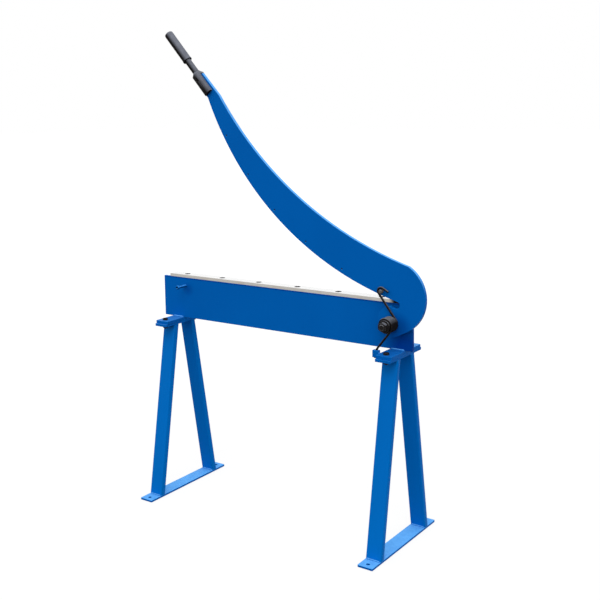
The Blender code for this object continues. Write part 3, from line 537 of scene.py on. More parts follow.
# Painted shade: a dark line along the beam's top edge under the blade, and dark patches under the arm's
# heel and under the stop screw.
shade_line = 0.003
shade_line_reach = 0.007
heel_shade_beyond = 0.030
heel_shade_level = 0.006
heel_shade_reach = (0.035, 0.085)
stop_shadow_beside = 0.004
stop_shadow_below = 0.006
stop_shadow_reach = (0.004, 0.032)
beam_ease = 0.0008
flange_ease = 0.0006
beam_low, beam_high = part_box("beam_plate")
stop_low, stop_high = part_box("arm_stop_screw")
heel_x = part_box("pivot_bolt")[1].x + heel_shade_beyond
under_heel = (heel_x, beam_low.y, beam_low.z + heel_shade_level)
under_stop = (stop_high.x + stop_shadow_beside, beam_low.y, stop_low.z - stop_shadow_below)


def beam_shade(tree, place):
    """Painted shade: a line along the top edge under the blade, and patches under the arm's heel and the
    stop screw.
    """
    level = grow(tree, "SeparateXYZ", {0: place}).outputs["Z"]
    oil_and_shade = scaled(tree, level, 0.0, 0.75, beam_high.z - shade_line_reach, beam_high.z - shade_line)
    heel = times(tree, near(tree, place, under_heel, *heel_shade_reach), 0.85)
    stop = times(tree, near(tree, place, under_stop, *stop_shadow_reach), 0.45)
    return most(tree, oil_and_shade, heel, stop), 1.0


beam_enamel = blue_enamel("beam_enamel", 0.15, shade_and_sheen_at=beam_shade)
keep("beam_plate", beam_enamel, beam_ease)
keep("bed_flange", enamel, flange_ease)
for side in ("left", "right"):
    low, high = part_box(side + "_shear_foot")
    for face, y, out in (("front", beam_low.y, -1), ("rear", beam_high.y, 1)):
        weld_bead(
            f"{side}_beam_{face}_bead",
            (low.x + leg_inset, y, high.z),
            (high.x - leg_inset, y, high.z),
            (0, out, 0),
            (0, 0, 1),
            beam_bead_size,
        )

# Lower blade. A hardened bar, surface-ground along its length and oiled, screwed down on
# the bed with countersunk socket screws whose heads sit just under the ground face.
steel_bright = (0.52, 0.50, 0.47)
steel_dull = (0.40, 0.385, 0.36)
steel_oil = (0.42, 0.35, 0.28)
# A near white laid on upward faces: a painted highlight.
steel_top_lit = (0.93, 0.93, 0.93)
# A near black laid at one place: painted shade.
steel_shaded = (0.012, 0.010, 0.009)
bed_screw_radius = 0.006
bed_screw_head = 0.012
bed_screw_key = 0.008
bed_screw_key_depth = 0.005
# Painted shade on the lower blade beside the pivot, where the arm shades it.
bed_shade_beyond = 0.009
bed_shade_reach = (0.012, 0.034)
blade_ease = 0.0004
head_rim = 0.0004
key_lead = 0.0003
key_corner = 0.0008
key_rise = 0.0006
drill_tip = 0.0012


def ground_steel(name, stretch, shaded_place, shade_reach):
    """Ground tool steel: grinding lines, dried oil, painted shade at one place, and a painted highlight
    on top.
    """
    material, tree, shader = new_finish(name, 1.0, 0.5)
    lines = cloud(tree, on_piece(tree, stretch), 0.0009, 2.0)
    place = on_piece(tree)
    colour = tinted(tree, scaled(tree, lines, 0, 1, 0.3, 0.7), steel_dull, steel_bright)
    film = scaled(tree, cloud(tree, place, 0.06, 5.0), 0, 0.5, 0.50, 0.72)
    colour = tinted(tree, film, colour, steel_oil)
    colour = tinted(tree, facing_up(tree, 0.3, 0.8), colour, steel_top_lit)
    colour = tinted(tree, near(tree, place, shaded_place, *shade_reach), colour, steel_shaded)
    tree.links.new(colour, shader.inputs["Base Color"])
    gloss = scaled(tree, cloud(tree, place, 0.03, 3.0), 0.26, 0.42, 0.3, 0.7)
    tree.links.new(gloss, shader.inputs["Roughness"])
    raised(tree, shader, lines, 0.00004, 0.6)
    return material


def socket_profile(top, radius, key, key_depth, rest):
    """The head of a socket screw: a hexagon recess, a rim, and whatever follows below."""

    def profile_at(angle):
        recess = hexagon(angle, key)
        floor = top - key_depth
        drilled = [(0, floor - drill_tip), (recess - key_corner, floor), (recess, floor + key_rise)]
        rim = [(recess, top - key_lead), (recess + key_lead, top), (radius - key_lead, top)]
        return [*drilled, *rim, *rest]

    return profile_at


above_pivot = centre_of("lower_blade")
above_pivot.x = centre_of("pivot_bolt").x + bed_shade_beyond
above_pivot.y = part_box("lower_blade")[0].y
bed_steel = ground_steel("bed_steel", (0.02, 1, 1), tuple(above_pivot), bed_shade_reach)
keep("lower_blade", bed_steel, blade_ease)
for number in range(1, 7):
    node = f"lower_blade_screw_{number}"
    low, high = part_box(node)
    cone = high.z - (bed_screw_head - bed_screw_radius)
    shank = [(bed_screw_radius, cone), (bed_screw_radius, low.z), (0, low.z)]
    rest = [(bed_screw_head, high.z - head_rim), *shank]
    profile = socket_profile(high.z, bed_screw_head, bed_screw_key, bed_screw_key_depth, rest)
    centre = centre_of(node)
    shape = put(lathe(profile), (centre.x, centre.y, 0))
    seated(node + "_socketed", shape, clean_oxide, "black_oxide", "frame", node)

# Stop screw. An M10 cap screw, 65 mm long, stands out of the beam and catches the closing
# arm with its shank. It was sprayed over with the beam, which has filled its knurl and its
# threads halfway.
stop_head = 0.008
stop_head_length = 0.010
stop_shank = 0.005
stop_pitch = 0.0015
stop_shade = (0.0, 0.006, 0.036)
stop_knurls = 40
stop_knurl_depth = 0.00018
stop_key = 0.008
stop_key_depth = 0.005
stop_plain = 0.033
stop_chamfer = 0.001
stop_round = 0.0006
stop_corner = 0.0004
paint_fill_share = 0.5
recess_shade_reach = (0.0052, 0.0064)


def painted_cap_screw(length):
    """A knurled cap screw with its head's face on level 0 and its shank below."""

    def profile_at(angle):
        recess = hexagon(angle, stop_key)
        knurl = stop_head - stop_knurl_depth * (1 + math.cos(stop_knurls * angle))
        floor, under = -stop_key_depth, -stop_head_length
        key = [(0, floor - stop_round), (recess - stop_corner, floor), (recess, floor + stop_round)]
        rim = [(recess, -stop_round), (recess + stop_round, 0), (stop_head - 2 * stop_round, 0)]
        side = [(stop_head - stop_corner, -stop_corner), (knurl, -2 * stop_round)]
        side += [(knurl, under + stop_round), (stop_head - stop_round, under)]
        neck = [(stop_shank + stop_round, under), (stop_shank, under - stop_round)]
        rows = thread(angle, stop_shank, stop_pitch, -stop_plain - stop_chamfer, -length, stop_chamfer)
        filled = [(radius + (stop_shank - radius) * paint_fill_share, level) for radius, level in rows]
        return [*key, *rim, *side, *neck, (stop_shank, -stop_plain), *filled, (0, -length)]

    return profile_at


centre = centre_of("arm_stop_screw")
stop_face = (centre.x, stop_low.y, centre.z)
stop_length = stop_high.y - stop_low.y
shape = put(lathe(painted_cap_screw(stop_length), columns=6 * stop_knurls), stop_face, (0, -1, 0))


def stop_painted_shade(tree, place):
    """Painted shade in the filled recess and on the underside."""
    under = facing_up(tree, 0.0, -0.45)
    return most(tree, near(tree, place, stop_face, *recess_shade_reach), under), 1.0


# The stop screw takes the legs' lighter enamel, with a painted highlight on top, and painted shade in its
# recess and underneath.
stop_enamel = blue_enamel("stop_screw_enamel", 0.4, leg_lit_fresh, leg_lit_deep, stop_painted_shade, stop_shade)
seated("arm_stop_screw_knurled", shape, stop_enamel, "blue_paint", "frame", "arm_stop_screw")

# Pivot. The arm turns in a bronze bush on an M20 bolt. A turned spacer holds it off the
# beam, and a sleeve, a large washer and the nut close the stack in front.
pivot_flats = 0.030
pivot_radius = 0.010
pivot_pitch = 0.0025
pivot_plain = 0.085
turned_ease = 0.0004
washer_round = 0.0007
washer_burr = 0.0002
washer_lead = 0.0003


def turned_metal(name, dark, light, metallic, rough):
    """Turned metal with fine tool marks and a film of grease."""
    material, tree, shader = new_finish(name, metallic, 0.5)
    place = on_piece(tree)
    colour = tinted(tree, scaled(tree, cloud(tree, place, 0.006, 4.0), 0, 1, 0.35, 0.7), dark, light)
    tree.links.new(colour, shader.inputs["Base Color"])
    gloss = scaled(tree, cloud(tree, place, 0.003, 3.0), rough, rough + 0.15, 0.3, 0.7)
    tree.links.new(gloss, shader.inputs["Roughness"])
    raised(tree, shader, cloud(tree, on_piece(tree, (0.1, 1, 0.1)), 0.0004, 2.0), 0.00003, 0.6)
    return material


spacer_steel = turned_metal("spacer_steel", (0.24, 0.23, 0.22), (0.36, 0.35, 0.33), 1.0, 0.30)
bush_bronze = turned_metal("bush_bronze", (0.30, 0.18, 0.07), (0.44, 0.28, 0.12), 1.0, 0.32)


def washer_profile(outer, bore, thick):
    """A punched washer that stands on level 0, rounded over on the punch side."""
    rim = [
        (outer - washer_round * (1 - math.sin(turn)), thick - washer_round * (1 - math.cos(turn)))
        for turn in (math.radians(30 * step) for step in range(4))
    ]
    under = [(outer, washer_burr), (outer - washer_burr, 0), (bore, 0)]
    profile = [(bore + washer_lead, thick), *rim, *under, (bore, thick - washer_lead)]
    return lambda angle: profile


front = (0, -1, 0)
pivot = centre_of("pivot_bolt")
pivot_bore = pivot_radius + seating_gap
for node, name, finish, slot, body in (
    ("thrust_spacer", "thrust_spacer_turned", spacer_steel, "turned_steel", "frame"),
    ("pivot_bush", "pivot_bush_turned", bush_bronze, "bronze", "arm"),
    ("pivot_sleeve", "pivot_sleeve_turned", oxide, "black_oxide", "frame"),
):
    low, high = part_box(node)
    outer, length = (high.x - low.x) / 2, high.y - low.y
    face_in, face_out = pivot_bore + turned_ease, outer - turned_ease
    side_end = length - turned_ease
    profile = [(face_in, length), (face_out, length), (outer, side_end), (outer, turned_ease)]
    profile += [(face_out, 0), (face_in, 0), (pivot_bore, turned_ease), (pivot_bore, side_end)]
    shape = put(lathe(lambda angle: profile, ring=True), (pivot.x, high.y, pivot.z), front)
    seated(name, shape, finish, slot, body, node)

for node, facing in (("pivot_front_washer", front), ("pivot_rear_washer", (0, 1, 0))):
    low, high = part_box(node)
    profile = washer_profile((high.x - low.x) / 2, pivot_bore, high.y - low.y)
    seat = high.y if facing == front else low.y
    shape = put(lathe(profile, ring=True), (pivot.x, seat, pivot.z), facing)
    seated(node + "_punched", shape, oxide, "black_oxide", "frame", node)

low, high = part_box("pivot_nut")
profile = hex_nut_profile(pivot_flats, high.y - low.y, 0, pivot_bore)
shape = put(lathe(profile, ring=True), (pivot.x, high.y, pivot.z), front)
seated("pivot_nut_chamfered", shape, oxide, "black_oxide", "frame", "pivot_nut")

low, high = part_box("pivot_bolt")
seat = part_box("pivot_rear_washer")[1].y + seating_gap
head, end = high.y - seat, low.y - seat
profile = hex_bolt_profile(pivot_flats, head, pivot_radius, pivot_pitch, pivot_plain, end)
shape = put(lathe(profile), (pivot.x, seat, pivot.z), (0, 1, 0))
seated("pivot_bolt_threaded", shape, oxide, "black_oxide", "frame", "pivot_bolt")

# Arm. A scimitar cut from plate, with a relief slot at its heel and a round boss for the
# bush, enamelled on its own before the blade goes on.
arm_ease = 0.0010
arm_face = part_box("arm_plate")[0].y
# Painted shade on the arm round the spring, and no painted top light near the heel.
spring_shade_beside = 0.022
spring_shade_below = 0.012
spring_shade = (pivot.x + spring_shade_beside, arm_face, pivot.z - spring_shade_below)
spring_shade_reach = (0.030, 0.062)
heel_without_top_light = (pivot.x, arm_face, pivot.z)
heel_without_top_light_reach = (0.13, 0.21)


def arm_shade_and_top_light(tree, place):
    """Painted shade round the spring, and painted top light on the arm's back, but none at the heel and
    in the slot.
    """
    coil_shade = near(tree, place, spring_shade, *spring_shade_reach)
    heel = near(tree, place, heel_without_top_light, *heel_without_top_light_reach)
    return times(tree, coil_shade, 0.45), scaled(tree, heel, 1, 0)


arm_enamel = blue_enamel("arm_enamel", 1.0, shade_and_sheen_at=arm_shade_and_top_light)
keep("arm_plate", arm_enamel, arm_ease)

# Upper blade. A ground strip screwed on behind the arm's edge from the back. The screws'
# ends stop just under the arm's face, and a longer one stands out as the spring's peg.
# Painted shade at the upper blade's end, the dark band seen through the slot.
blade_shade_reach = (0.016, 0.028)
peg_radius = 0.007
blade_screw = dict(head=0.006, radius=0.003, key=0.004, key_depth=0.002, pitch=0.001, plain=0.006)
peg_screw = dict(head=0.012, radius=peg_radius, key=0.008, key_depth=0.004, pitch=0.002, plain=0.022)


def countersunk_profile(head, radius, key, key_depth, pitch, plain, length):
    """A countersunk socket screw with its head's face on level 0 and its point below."""

    def profile_at(angle):
        rows = thread(angle, radius, pitch, -plain, -length, 0.8 * pitch)
        cone = [(head, -head_rim), (radius, radius - head - head_rim)]
        rest = [*cone, (radius, -plain), *rows, (0, -length)]
        return socket_profile(0, head, key, key_depth, rest)(angle)

    return profile_at


blade_points = [vertex.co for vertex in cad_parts["upper_blade"].data.vertices]
blade_end = max(blade_points, key=lambda point: point.x - point.z)
curved_steel = ground_steel("curved_steel", (1, 1, 1), tuple(blade_end), blade_shade_reach)
keep("upper_blade", curved_steel)
for number in range(1, 6):
    node = f"upper_blade_screw_{number}"
    low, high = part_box(node)
    centre = centre_of(node)
    profile = countersunk_profile(**blade_screw, length=high.y - low.y)
    shape = put(lathe(profile), (centre.x, high.y, centre.z), (0, 1, 0))
    seated(node + "_threaded", shape, clean_oxide, "black_oxide", "arm", node)
low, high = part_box("spring_hook_bolt")
peg = centre_of("spring_hook_bolt")
profile = countersunk_profile(**peg_screw, length=high.y - low.y)
shape = put(lathe(profile), (peg.x, high.y, peg.z), (0, 1, 0))
rubbed_oxide = black_oxide("rubbed_oxide", 0.9, 0.9)
seated("spring_peg_threaded", shape, rubbed_oxide, "black_oxide", "arm", "spring_hook_bolt")

# Return spring. One oil-tempered wire, 8 mm thick: its lower end stands in a drilled lug that
# is welded to the edge of the foot plate, it winds five times round the sleeve, and its
# upper end hooks over the peg.
wire_radius = 0.004
wire_columns = 20
coil_radius = 0.0247
coil_turns = 5
coil_steps = 60
coil_flare = 0.003
coil_flare_angle = 108
hook_bend = 0.013
hook_bear = 225
hook_end = 60
hook_tail = 0.025
hook_set_in = 0.0042
hook_steps = 28
bend_rise = 0.004
bend_steps = 12
flat_run = 0.024
lug_lean = 12
lug_hole_offset = 0.0015
lug_stand_out = 0.004
lug_ease = 0.0010
lug_bead_size = 0.004
lug_bead_inset = 0.002
wire_black = (0.005, 0.004, 0.004)
wire_grey = (0.009, 0.008, 0.008)
wire_brown = (0.034, 0.022, 0.015)
# A pale grey laid on the wire's upward faces: a painted highlight.
wire_top_lit = (0.185, 0.192, 0.215)


def tempered_wire():
    """Oil-tempered wire: blue-black scale with brown oil in it, and a painted highlight on top."""
    material, tree, shader = new_finish("tempered_wire", 0.0, 0.03)
    place = on_piece(tree)
    clouds = scaled(tree, cloud(tree, place, 0.005, 4.0), 0, 1, 0.35, 0.65)
    scale = tinted(tree, clouds, wire_black, wire_grey)
    oil_and_shade = scaled(tree, cloud(tree, place, 0.012, 3.0), 0, 0.5, 0.54, 0.70)
    patches = scaled(tree, cloud(tree, place, 0.004), 0.5, 1.0, 0.3, 0.7)
    sheen = times(tree, facing_up(tree, 0.3, 0.85), patches)
    colour = tinted(tree, sheen, tinted(tree, oil_and_shade, scale, wire_brown), wire_top_lit)
    tree.links.new(colour, shader.inputs["Base Color"])
    gloss = scaled(tree, cloud(tree, place, 0.003, 3.0), 0.30, 0.46, 0.3, 0.7)
    tree.links.new(gloss, shader.inputs["Roughness"])
    raised(tree, shader, cloud(tree, place, 0.0009, 3.0), 0.00006, 0.7)
    return material


def heading(angle):
    """The direction at an angle in degrees, seen from the operator's side."""
    return Vector((math.cos(math.radians(angle)), 0, math.sin(math.radians(angle))))


def angle_of(way):
    """The angle of a direction in degrees, seen from the operator's side."""
    return math.degrees(math.atan2(way.z, way.x))


def wire(path, radius):
    """A round wire along a path of points, sawn off and deburred at both ends."""
    shape = bmesh.new()
    ways = [(after - before).normalized() for before, after in zip(path, path[1:])]
    between = [(before + after).normalized() for before, after in zip(ways, ways[1:])]
    first, last = ways[0], ways[-1]
    across = first.orthogonal().normalized()
    rings = []
    burr = radius * 0.12
    stations = [(path[0], first, radius - burr), (path[0] + first * burr, first, radius)]
    stations += [(point, way, radius) for point, way in zip(path[1:-1], between)]
    stations += [(path[-1] - last * burr, last, radius), (path[-1], last, radius - burr)]
    for point, way, size in stations:
        across = (across - way * across.dot(way)).normalized()
        beside = way.cross(across)
        rings.append([
            shape.verts.new(point + (across * math.cos(turn) + beside * math.sin(turn)) * size)
            for turn in (2 * math.pi * column / wire_columns for column in range(wire_columns))
        ])
    for here, after in zip(rings, rings[1:]):
        skin(shape, here, after)
    shape.faces.new(rings[0])
    shape.faces.new(rings[-1])
    return shape


lug_low, lug_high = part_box("spring_lug")
lug_hole = centre_of("spring_lug") + Vector((lug_hole_offset, 0, 0))
lug_hole.z = lug_high.z
lug_up = heading(90 - lug_lean)
coil_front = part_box("pivot_front_washer")[1].y + seating_gap + wire_radius
coil_rear = arm_face - seating_gap - wire_radius
hook_level = coil_rear - hook_set_in
axis = Vector((pivot.x, 0, pivot.z))
hook_play = hook_bend - peg_radius - wire_radius - seating_gap
hook_centre = Vector((peg.x, 0, peg.z)) - hook_play * heading(hook_bear)
rise = hook_centre - axis
leave = angle_of(rise) - math.degrees(math.acos((coil_radius + hook_bend) / rise.length))
bend = Vector((lug_hole.x, 0, lug_hole.z)) + lug_up * bend_rise
drop = bend - axis
flared = coil_radius + coil_flare
meet = angle_of(drop) + math.degrees(math.acos(flared / drop.length))
meet_point = axis + flared * heading(meet)
flat_point = meet_point + (bend - meet_point).normalized() * flat_run + Vector((0, coil_front, 0))
bend.y = lug_hole.y
after_bend = bend.lerp(flat_point, 2 * wire_radius / (flat_point - bend).length)

path = [lug_hole - lug_up * (lug_high.z - lug_low.z + lug_stand_out)]
for step in range(bend_steps + 1):
    share = step / bend_steps
    path.append(lug_hole.lerp(bend, share).lerp(bend.lerp(after_bend, share), share))
path += [after_bend.lerp(flat_point, step / 10) for step in range(1, 11)]
path += [flat_point.lerp(meet_point + Vector((0, coil_front, 0)), step / 4) for step in range(1, 4)]
sweep = (leave - meet) % 360 + 360 * coil_turns
steps = round(sweep / 360 * coil_steps)
for step in range(steps + 1):
    turned_by = sweep * step / steps
    flare = coil_flare * max(0.0, 1 - turned_by / coil_flare_angle) ** 2
    level = coil_front + (coil_rear - coil_front) * step / steps
    path.append(axis + (coil_radius + flare) * heading(meet + turned_by) + Vector((0, level, 0)))
hook_middle = hook_centre + Vector((0, hook_level, 0))
hook_start = hook_middle + hook_bend * heading(leave + 180)
leg_start = path[-1].copy()
path += [leg_start.lerp(hook_start, step / 10) for step in range(1, 10)]
hook_sweep = hook_end - (leave + 180)
for step in range(hook_steps + 1):
    path.append(hook_middle + hook_bend * heading(leave + 180 + hook_sweep * step / hook_steps))
path += [path[-1] + heading(hook_end - 90) * hook_tail * share for share in (0.3, 0.6, 1.0)]

spring = coated(as_piece("return_spring_wound", wire(path, wire_radius)), tempered_wire())
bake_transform(spring)
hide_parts("return_spring")

keep("spring_lug", enamel, lug_ease)
plate_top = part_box("right_shear_foot")[1].z
weld_bead(
    "spring_lug_top_bead",
    (lug_high.x, lug_low.y + lug_bead_inset, plate_top),
    (lug_high.x, lug_high.y - lug_bead_inset, plate_top),
    (1, 0, 0),
    (0, 0, 1),
    lug_bead_size,
)

# Handle. A turned clevis with two milled flats grips the arm's tongue and is pinched on it
# by a set screw, a rod is screwed into its top, and a moulded grip is pushed over the rod.
# The clevis and the rod are powder-coated in the same slate grey as the grip.
handle_angle = 131.4
slate_shade = (0.007, 0.006, 0.006)
slate_dark = (0.112, 0.119, 0.143)
slate_light = (0.150, 0.159, 0.190)
slate_worn = (0.30, 0.30, 0.31)
grip_dark = (0.124, 0.132, 0.160)
grip_light = (0.168, 0.179, 0.215)
clevis_radius = 0.0250
clevis_flat = 0.018
clevis_nose = 0.0150
clevis_taper = 0.0122
clevis_lead = 0.0012
clevis_corner_in = 0.0008
clevis_corner_down = 0.0020
clevis_foot_ease = 0.0010
clevis_ease = 0.0005
tongue_slot = 0.0073
tongue_cut_reach = 0.030
tongue_cut_drop = 0.002
tongue_end_gap = 0.0060
cut_overrun = 0.001
set_screw_radius = 0.003
set_screw_key = 0.003
set_screw_key_depth = 0.002
set_screw_point = 0.0004
set_screw_reach = 0.030
stub_radius = 0.0080
stub_depth = 0.0160
rod_radius = 0.0130
rod_ease = 0.0008
grip_radius = 0.01775
grip_cut_back = 0.004
grip_round = 0.006
grip_flare = ((0, 0.0105), (0.00035, 0.0075), (0.0008, 0.0055), (0.0010, 0.0045), (0.0010, 0.0008))
grip_lip_radius = 0.0180
grip_lead = 0.0005
grip_end_wall = 0.0055


def grip_plastic():
    """Moulded plastic with a fine grain, and painted shade, near black, on faces that look down or
    sideways.
    """
    material, tree, shader = new_finish("grip_plastic", 0.0, 0.03)
    place = on_piece(tree)
    clouds = scaled(tree, cloud(tree, place, 0.02, 4.0), 0, 1, 0.3, 0.7)
    colour = tinted(tree, clouds, grip_dark, grip_light)
    # Painted shade: the plastic turns near black on faces that look down or sideways.
    colour = tinted(tree, facing_up(tree, 0.0, 0.45), slate_shade, colour)
    tree.links.new(colour, shader.inputs["Base Color"])
    gloss = scaled(tree, cloud(tree, place, 0.01, 3.0), 0.50, 0.66, 0.3, 0.7)
    tree.links.new(gloss, shader.inputs["Roughness"])
    raised(tree, shader, cloud(tree, place, 0.0007, 2.0), 0.00012, 0.7)
    return material


def slate_coat():
    """Powder coat: a fine even grain, painted shade near black on faces that look down or sideways, and
    rubbed on its edges.
    """
    material, tree, shader = new_finish("slate_coat", 0.0, 0.03)
    place = on_piece(tree)
    clouds = scaled(tree, cloud(tree, place, 0.015, 4.0), 0, 1, 0.3, 0.7)
    colour = tinted(tree, clouds, slate_dark, slate_light)
    # Painted shade: the coat turns near black on faces that look down or sideways.
    colour = tinted(tree, facing_up(tree, 0.0, 0.45), slate_shade, colour)
    wear = scaled(tree, cloud(tree, place, 0.004), 0.0, 0.8, 0.4, 0.7)
    rub = times(tree, on_edges(tree, 0.0010), wear)
    tree.links.new(tinted(tree, rub, colour, slate_worn), shader.inputs["Base Color"])
    gloss = scaled(tree, cloud(tree, place, 0.006, 3.0), 0.40, 0.55, 0.3, 0.7)
    tree.links.new(gloss, shader.inputs["Roughness"])
    raised(tree, shader, cloud(tree, place, 0.0005, 2.0), 0.00005, 0.6)
    return material


def along(node, way):
    """How far a node reaches along a direction, at both ends."""
    reach = [vertex.co.dot(way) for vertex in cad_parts[node].data.vertices]
    return min(reach), max(reach)


def carved(shape, tools, ease):
    """A shape with tools cut out of it, and its new edges eased."""
    body = as_piece("carved_body", shape)
    cutters = [as_piece(f"carving_tool_{index}", tool) for index, tool in enumerate(tools)]
    for cutter in cutters:
        cut = body.modifiers.new("cut", "BOOLEAN")
        cut.operation = "DIFFERENCE"
        cut.solver = "EXACT"
        cut.object = cutter
    ease_edges(body, ease, 2)
    graph = bpy.context.evaluated_depsgraph_get()
    result = bmesh.new()
    result.from_object(body, graph)
    for piece in (body, *cutters):
        bpy.data.objects.remove(piece, do_unlink=True)
    return result


handle_up = heading(handle_angle)
handle_side = heading(handle_angle - 90)
middle_y = centre_of("handle_rod").y
axis_side = centre_of("handle_rod").dot(handle_side)


def on_handle(level):
    """A point on the handle's axis at a level along it."""
    return handle_up * level + handle_side * axis_side + Vector((0, middle_y, 0))


def stood(shape, level):
    """Stands a turned shape on the handle's axis at a level, with its +X to the handle's side."""
    turn = Matrix((handle_side, handle_up.cross(handle_side), handle_up)).transposed().to_4x4()
    bmesh.ops.transform(shape, matrix=Matrix.Translation(on_handle(level)) @ turn, verts=shape.verts)
    return shape


def box_shape(low, high):
    """A box between two corners."""
    shape = bmesh.new()
    bmesh.ops.create_cube(shape, size=1)
    low, high = Vector(low), Vector(high)
    bmesh.ops.scale(shape, vec=high - low, verts=shape.verts)
    bmesh.ops.translate(shape, vec=(low + high) / 2, verts=shape.verts)
    return shape


slate = slate_coat()
socket_low, socket_high = along("handle_socket", handle_up)
screw_level = centre_of("handle_set_screw").dot(handle_up) - socket_low
socket_length = socket_high - socket_low


def clevis_at(angle):
    """The outline of the clevis: round to the front and back, milled flat on both sides."""
    flat = clevis_flat / max(abs(math.cos(angle)), 0.0001)
    shoulder = socket_length - clevis_taper
    rows = [(clevis_nose - clevis_lead, socket_length), (clevis_nose, socket_length - clevis_lead)]
    rows += [(clevis_radius - clevis_corner_in, shoulder), (clevis_radius, shoulder - clevis_corner_down)]
    rows += [(clevis_radius, clevis_lead), (clevis_radius - clevis_foot_ease, 0)]
    trimmed = [(min(radius, flat), level) for radius, level in rows]
    return [(0, socket_length), *trimmed, (0, 0)]


def socket_bore(angle):
    """The tapped bore for the rod's stub."""
    bore = stub_radius + seating_gap
    top, floor = socket_length + cut_overrun, socket_length - stub_depth - seating_gap
    return [(0, top), (bore, top), (bore, floor), (0, floor)]


def set_screw_bore(angle):
    """The tapped hole for the set screw."""
    bore = set_screw_radius + seating_gap
    return [(0, set_screw_reach), (bore, set_screw_reach), (bore, 0), (0, 0)]


tongue_depth = along("arm_plate", handle_up)[1] - socket_low + tongue_end_gap
tongue = box_shape(
    (-tongue_cut_reach, -tongue_slot, -tongue_cut_drop), (tongue_cut_reach, tongue_slot, tongue_depth)
)
screw_hole = put(lathe(set_screw_bore, columns=48), (0, 0, screw_level), (0, -1, 0))
stub_hole = lathe(socket_bore, columns=48)
clevis = carved(lathe(clevis_at, columns=128), [tongue, stub_hole, screw_hole], clevis_ease)
seated("handle_clevis", stood(clevis, socket_low), slate, "black_handle", "arm", "handle_socket")

low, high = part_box("handle_set_screw")
point = [(set_screw_radius, set_screw_point), (set_screw_radius - set_screw_point, 0), (0, 0)]
profile = socket_profile(high.y - low.y, set_screw_radius, set_screw_key, set_screw_key_depth, point)
centre = centre_of("handle_set_screw")
shape = put(lathe(profile, columns=48), (centre.x, high.y, centre.z), (0, -1, 0))
seated("handle_set_screw_socketed", shape, oxide, "black_oxide", "arm", "handle_set_screw")

rod_low, rod_high = along("handle_rod", handle_up)
neck = socket_high + seating_gap - rod_low
rod_length = rod_high - rod_low
rod_face = rod_radius - rod_ease
rod_profile = [(0, rod_length), (rod_face, rod_length), (rod_radius, rod_length - rod_ease)]
rod_profile += [(rod_radius, neck + rod_ease), (rod_face, neck), (stub_radius, neck)]
rod_profile += [(stub_radius, rod_ease), (stub_radius - rod_ease, 0), (0, 0)]
shape = stood(lathe(lambda angle: rod_profile), rod_low)
seated("handle_rod_turned", shape, slate, "black_handle", "arm", "handle_rod")

grip_low, grip_high = along("handle_grip", handle_up)
grip_length = grip_high - grip_low - grip_cut_back
grip_bore = rod_radius + seating_gap
grip_floor = grip_length - grip_end_wall
grip_end = [
    (grip_radius - grip_round * (1 - math.sin(turn)), grip_length - grip_round * (1 - math.cos(turn)))
    for turn in (math.radians(15 * step) for step in range(7))
]
grip_side = [(grip_radius + beyond, level) for beyond, level in grip_flare]
grip_mouth = [(grip_lip_radius, 0), (grip_bore + grip_lead, 0), (grip_bore, grip_lead)]
grip_inside = [(grip_bore, grip_floor), (0, grip_floor)]
grip_profile = [(0, grip_length), *grip_end, *grip_side, *grip_mouth, *grip_inside]
shape = stood(lathe(lambda angle: grip_profile), grip_low)
seated("handle_grip_moulded", shape, grip_plastic(), "grip_plastic", "arm", "handle_grip")

# Studio. A pale floor that runs into a white backdrop, an even bright ceiling, and one wide
# soft lamp high in front and a little to the right. The camera stands at eye height.
lens = 58.427
camera_place = (2.09505, -3.04128, 1.62983)
camera_turn = math.radians(37.455)
camera_drop = math.radians(8.202)
camera_roll = math.radians(-1.2234)
camera_shift = (0.10833, -0.10)
lamp_place = (3.9, -6.5, 11.5)
lamp_aim = (0, 0, 1)
lamp_size = 10.0
lamp_watts = 600
sky_strength = 1.10
floor_reach = 40.0
floor_drop = 0.0002
floor_grey = 0.14
floor_glow_near = 0.84
floor_glow_far = 0.98
floor_glow_start = 1.5
floor_glow_end = 7.0


def where_seen(tree, lighting, looked_at):
    """One shader for the light on the shear, and another for what the camera, gloss and glass see."""
    path = grow(tree, "LightPath").outputs
    seen = most(tree, path["Is Camera Ray"], path["Is Glossy Ray"], path["Is Transmission Ray"])
    return grow(tree, "MixShader", {0: seen, 1: lighting, 2: looked_at}).outputs[0]


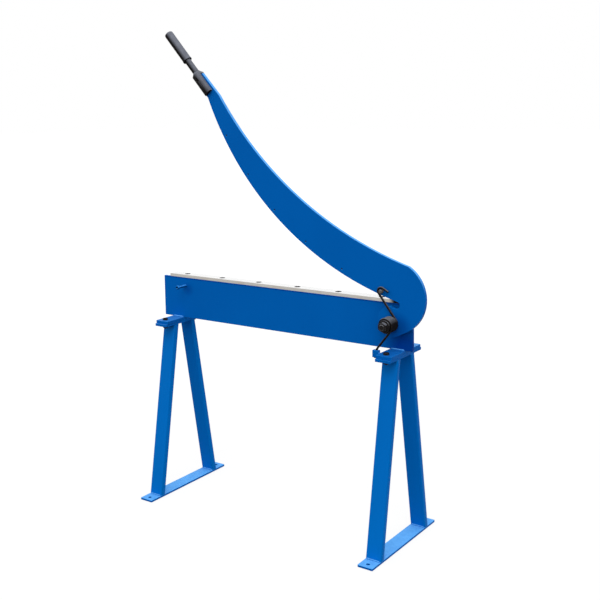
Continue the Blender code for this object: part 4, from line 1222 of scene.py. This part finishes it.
world = bpy.data.worlds.new("studio")
bpy.context.scene.world = world
world.use_nodes = True
tree = world.node_tree
tree.nodes.clear()
sky = grow(tree, "Background", {"Color": (1, 1, 1, 1), "Strength": sky_strength}).outputs[0]
white = grow(tree, "Background", {"Color": (1, 1, 1, 1), "Strength": 1.0}).outputs[0]
grow(tree, "OutputWorld", {"Surface": where_seen(tree, sky, white)})

shape = bmesh.new()
bmesh.ops.create_grid(shape, x_segments=1, y_segments=1, size=floor_reach)
floor = as_piece("studio_floor", shape)
floor.location.z = -floor_drop
floor_finish = bpy.data.materials.new("floor_paper")
floor_finish.use_nodes = True
tree = floor_finish.node_tree
tree.nodes.clear()
paper = grow(tree, "BsdfDiffuse", {"Color": (floor_grey, floor_grey, floor_grey, 1)}).outputs[0]
away = grow(tree, "VectorMath", {0: on_piece(tree)}, operation="LENGTH").outputs["Value"]
brightness = scaled(tree, away, floor_glow_near, floor_glow_far, floor_glow_start, floor_glow_end)
glow = grow(tree, "Emission", {"Color": (1, 1, 1, 1), "Strength": brightness}).outputs[0]
lit = grow(tree, "AddShader", {0: paper, 1: glow}).outputs[0]
grow(tree, "OutputMaterial", {"Surface": where_seen(tree, paper, lit)})
floor.data.materials.append(floor_finish)

lamp = bpy.data.objects.new("soft_lamp", bpy.data.lights.new("soft_lamp", "AREA"))
lamp.data.shape = "DISK"
lamp.data.size = lamp_size
lamp.data.energy = lamp_watts
lamp.location = lamp_place
lamp.rotation_euler = (Vector(lamp_aim) - Vector(lamp_place)).to_track_quat("-Z", "Y").to_euler()
bpy.context.scene.collection.objects.link(lamp)

camera = bpy.data.objects.new("camera", bpy.data.cameras.new("camera"))
camera.data.lens = lens
camera.data.shift_x, camera.data.shift_y = camera_shift
turn = Matrix.Rotation(camera_turn, 4, "Z") @ Matrix.Rotation(math.pi / 2 - camera_drop, 4, "X")
camera.matrix_world = Matrix.Translation(camera_place) @ turn @ Matrix.Rotation(camera_roll, 4, "Z")
bpy.context.scene.collection.objects.link(camera)
bpy.context.scene.camera = camera
bpy.context.scene.view_settings.view_transform = "Standard"
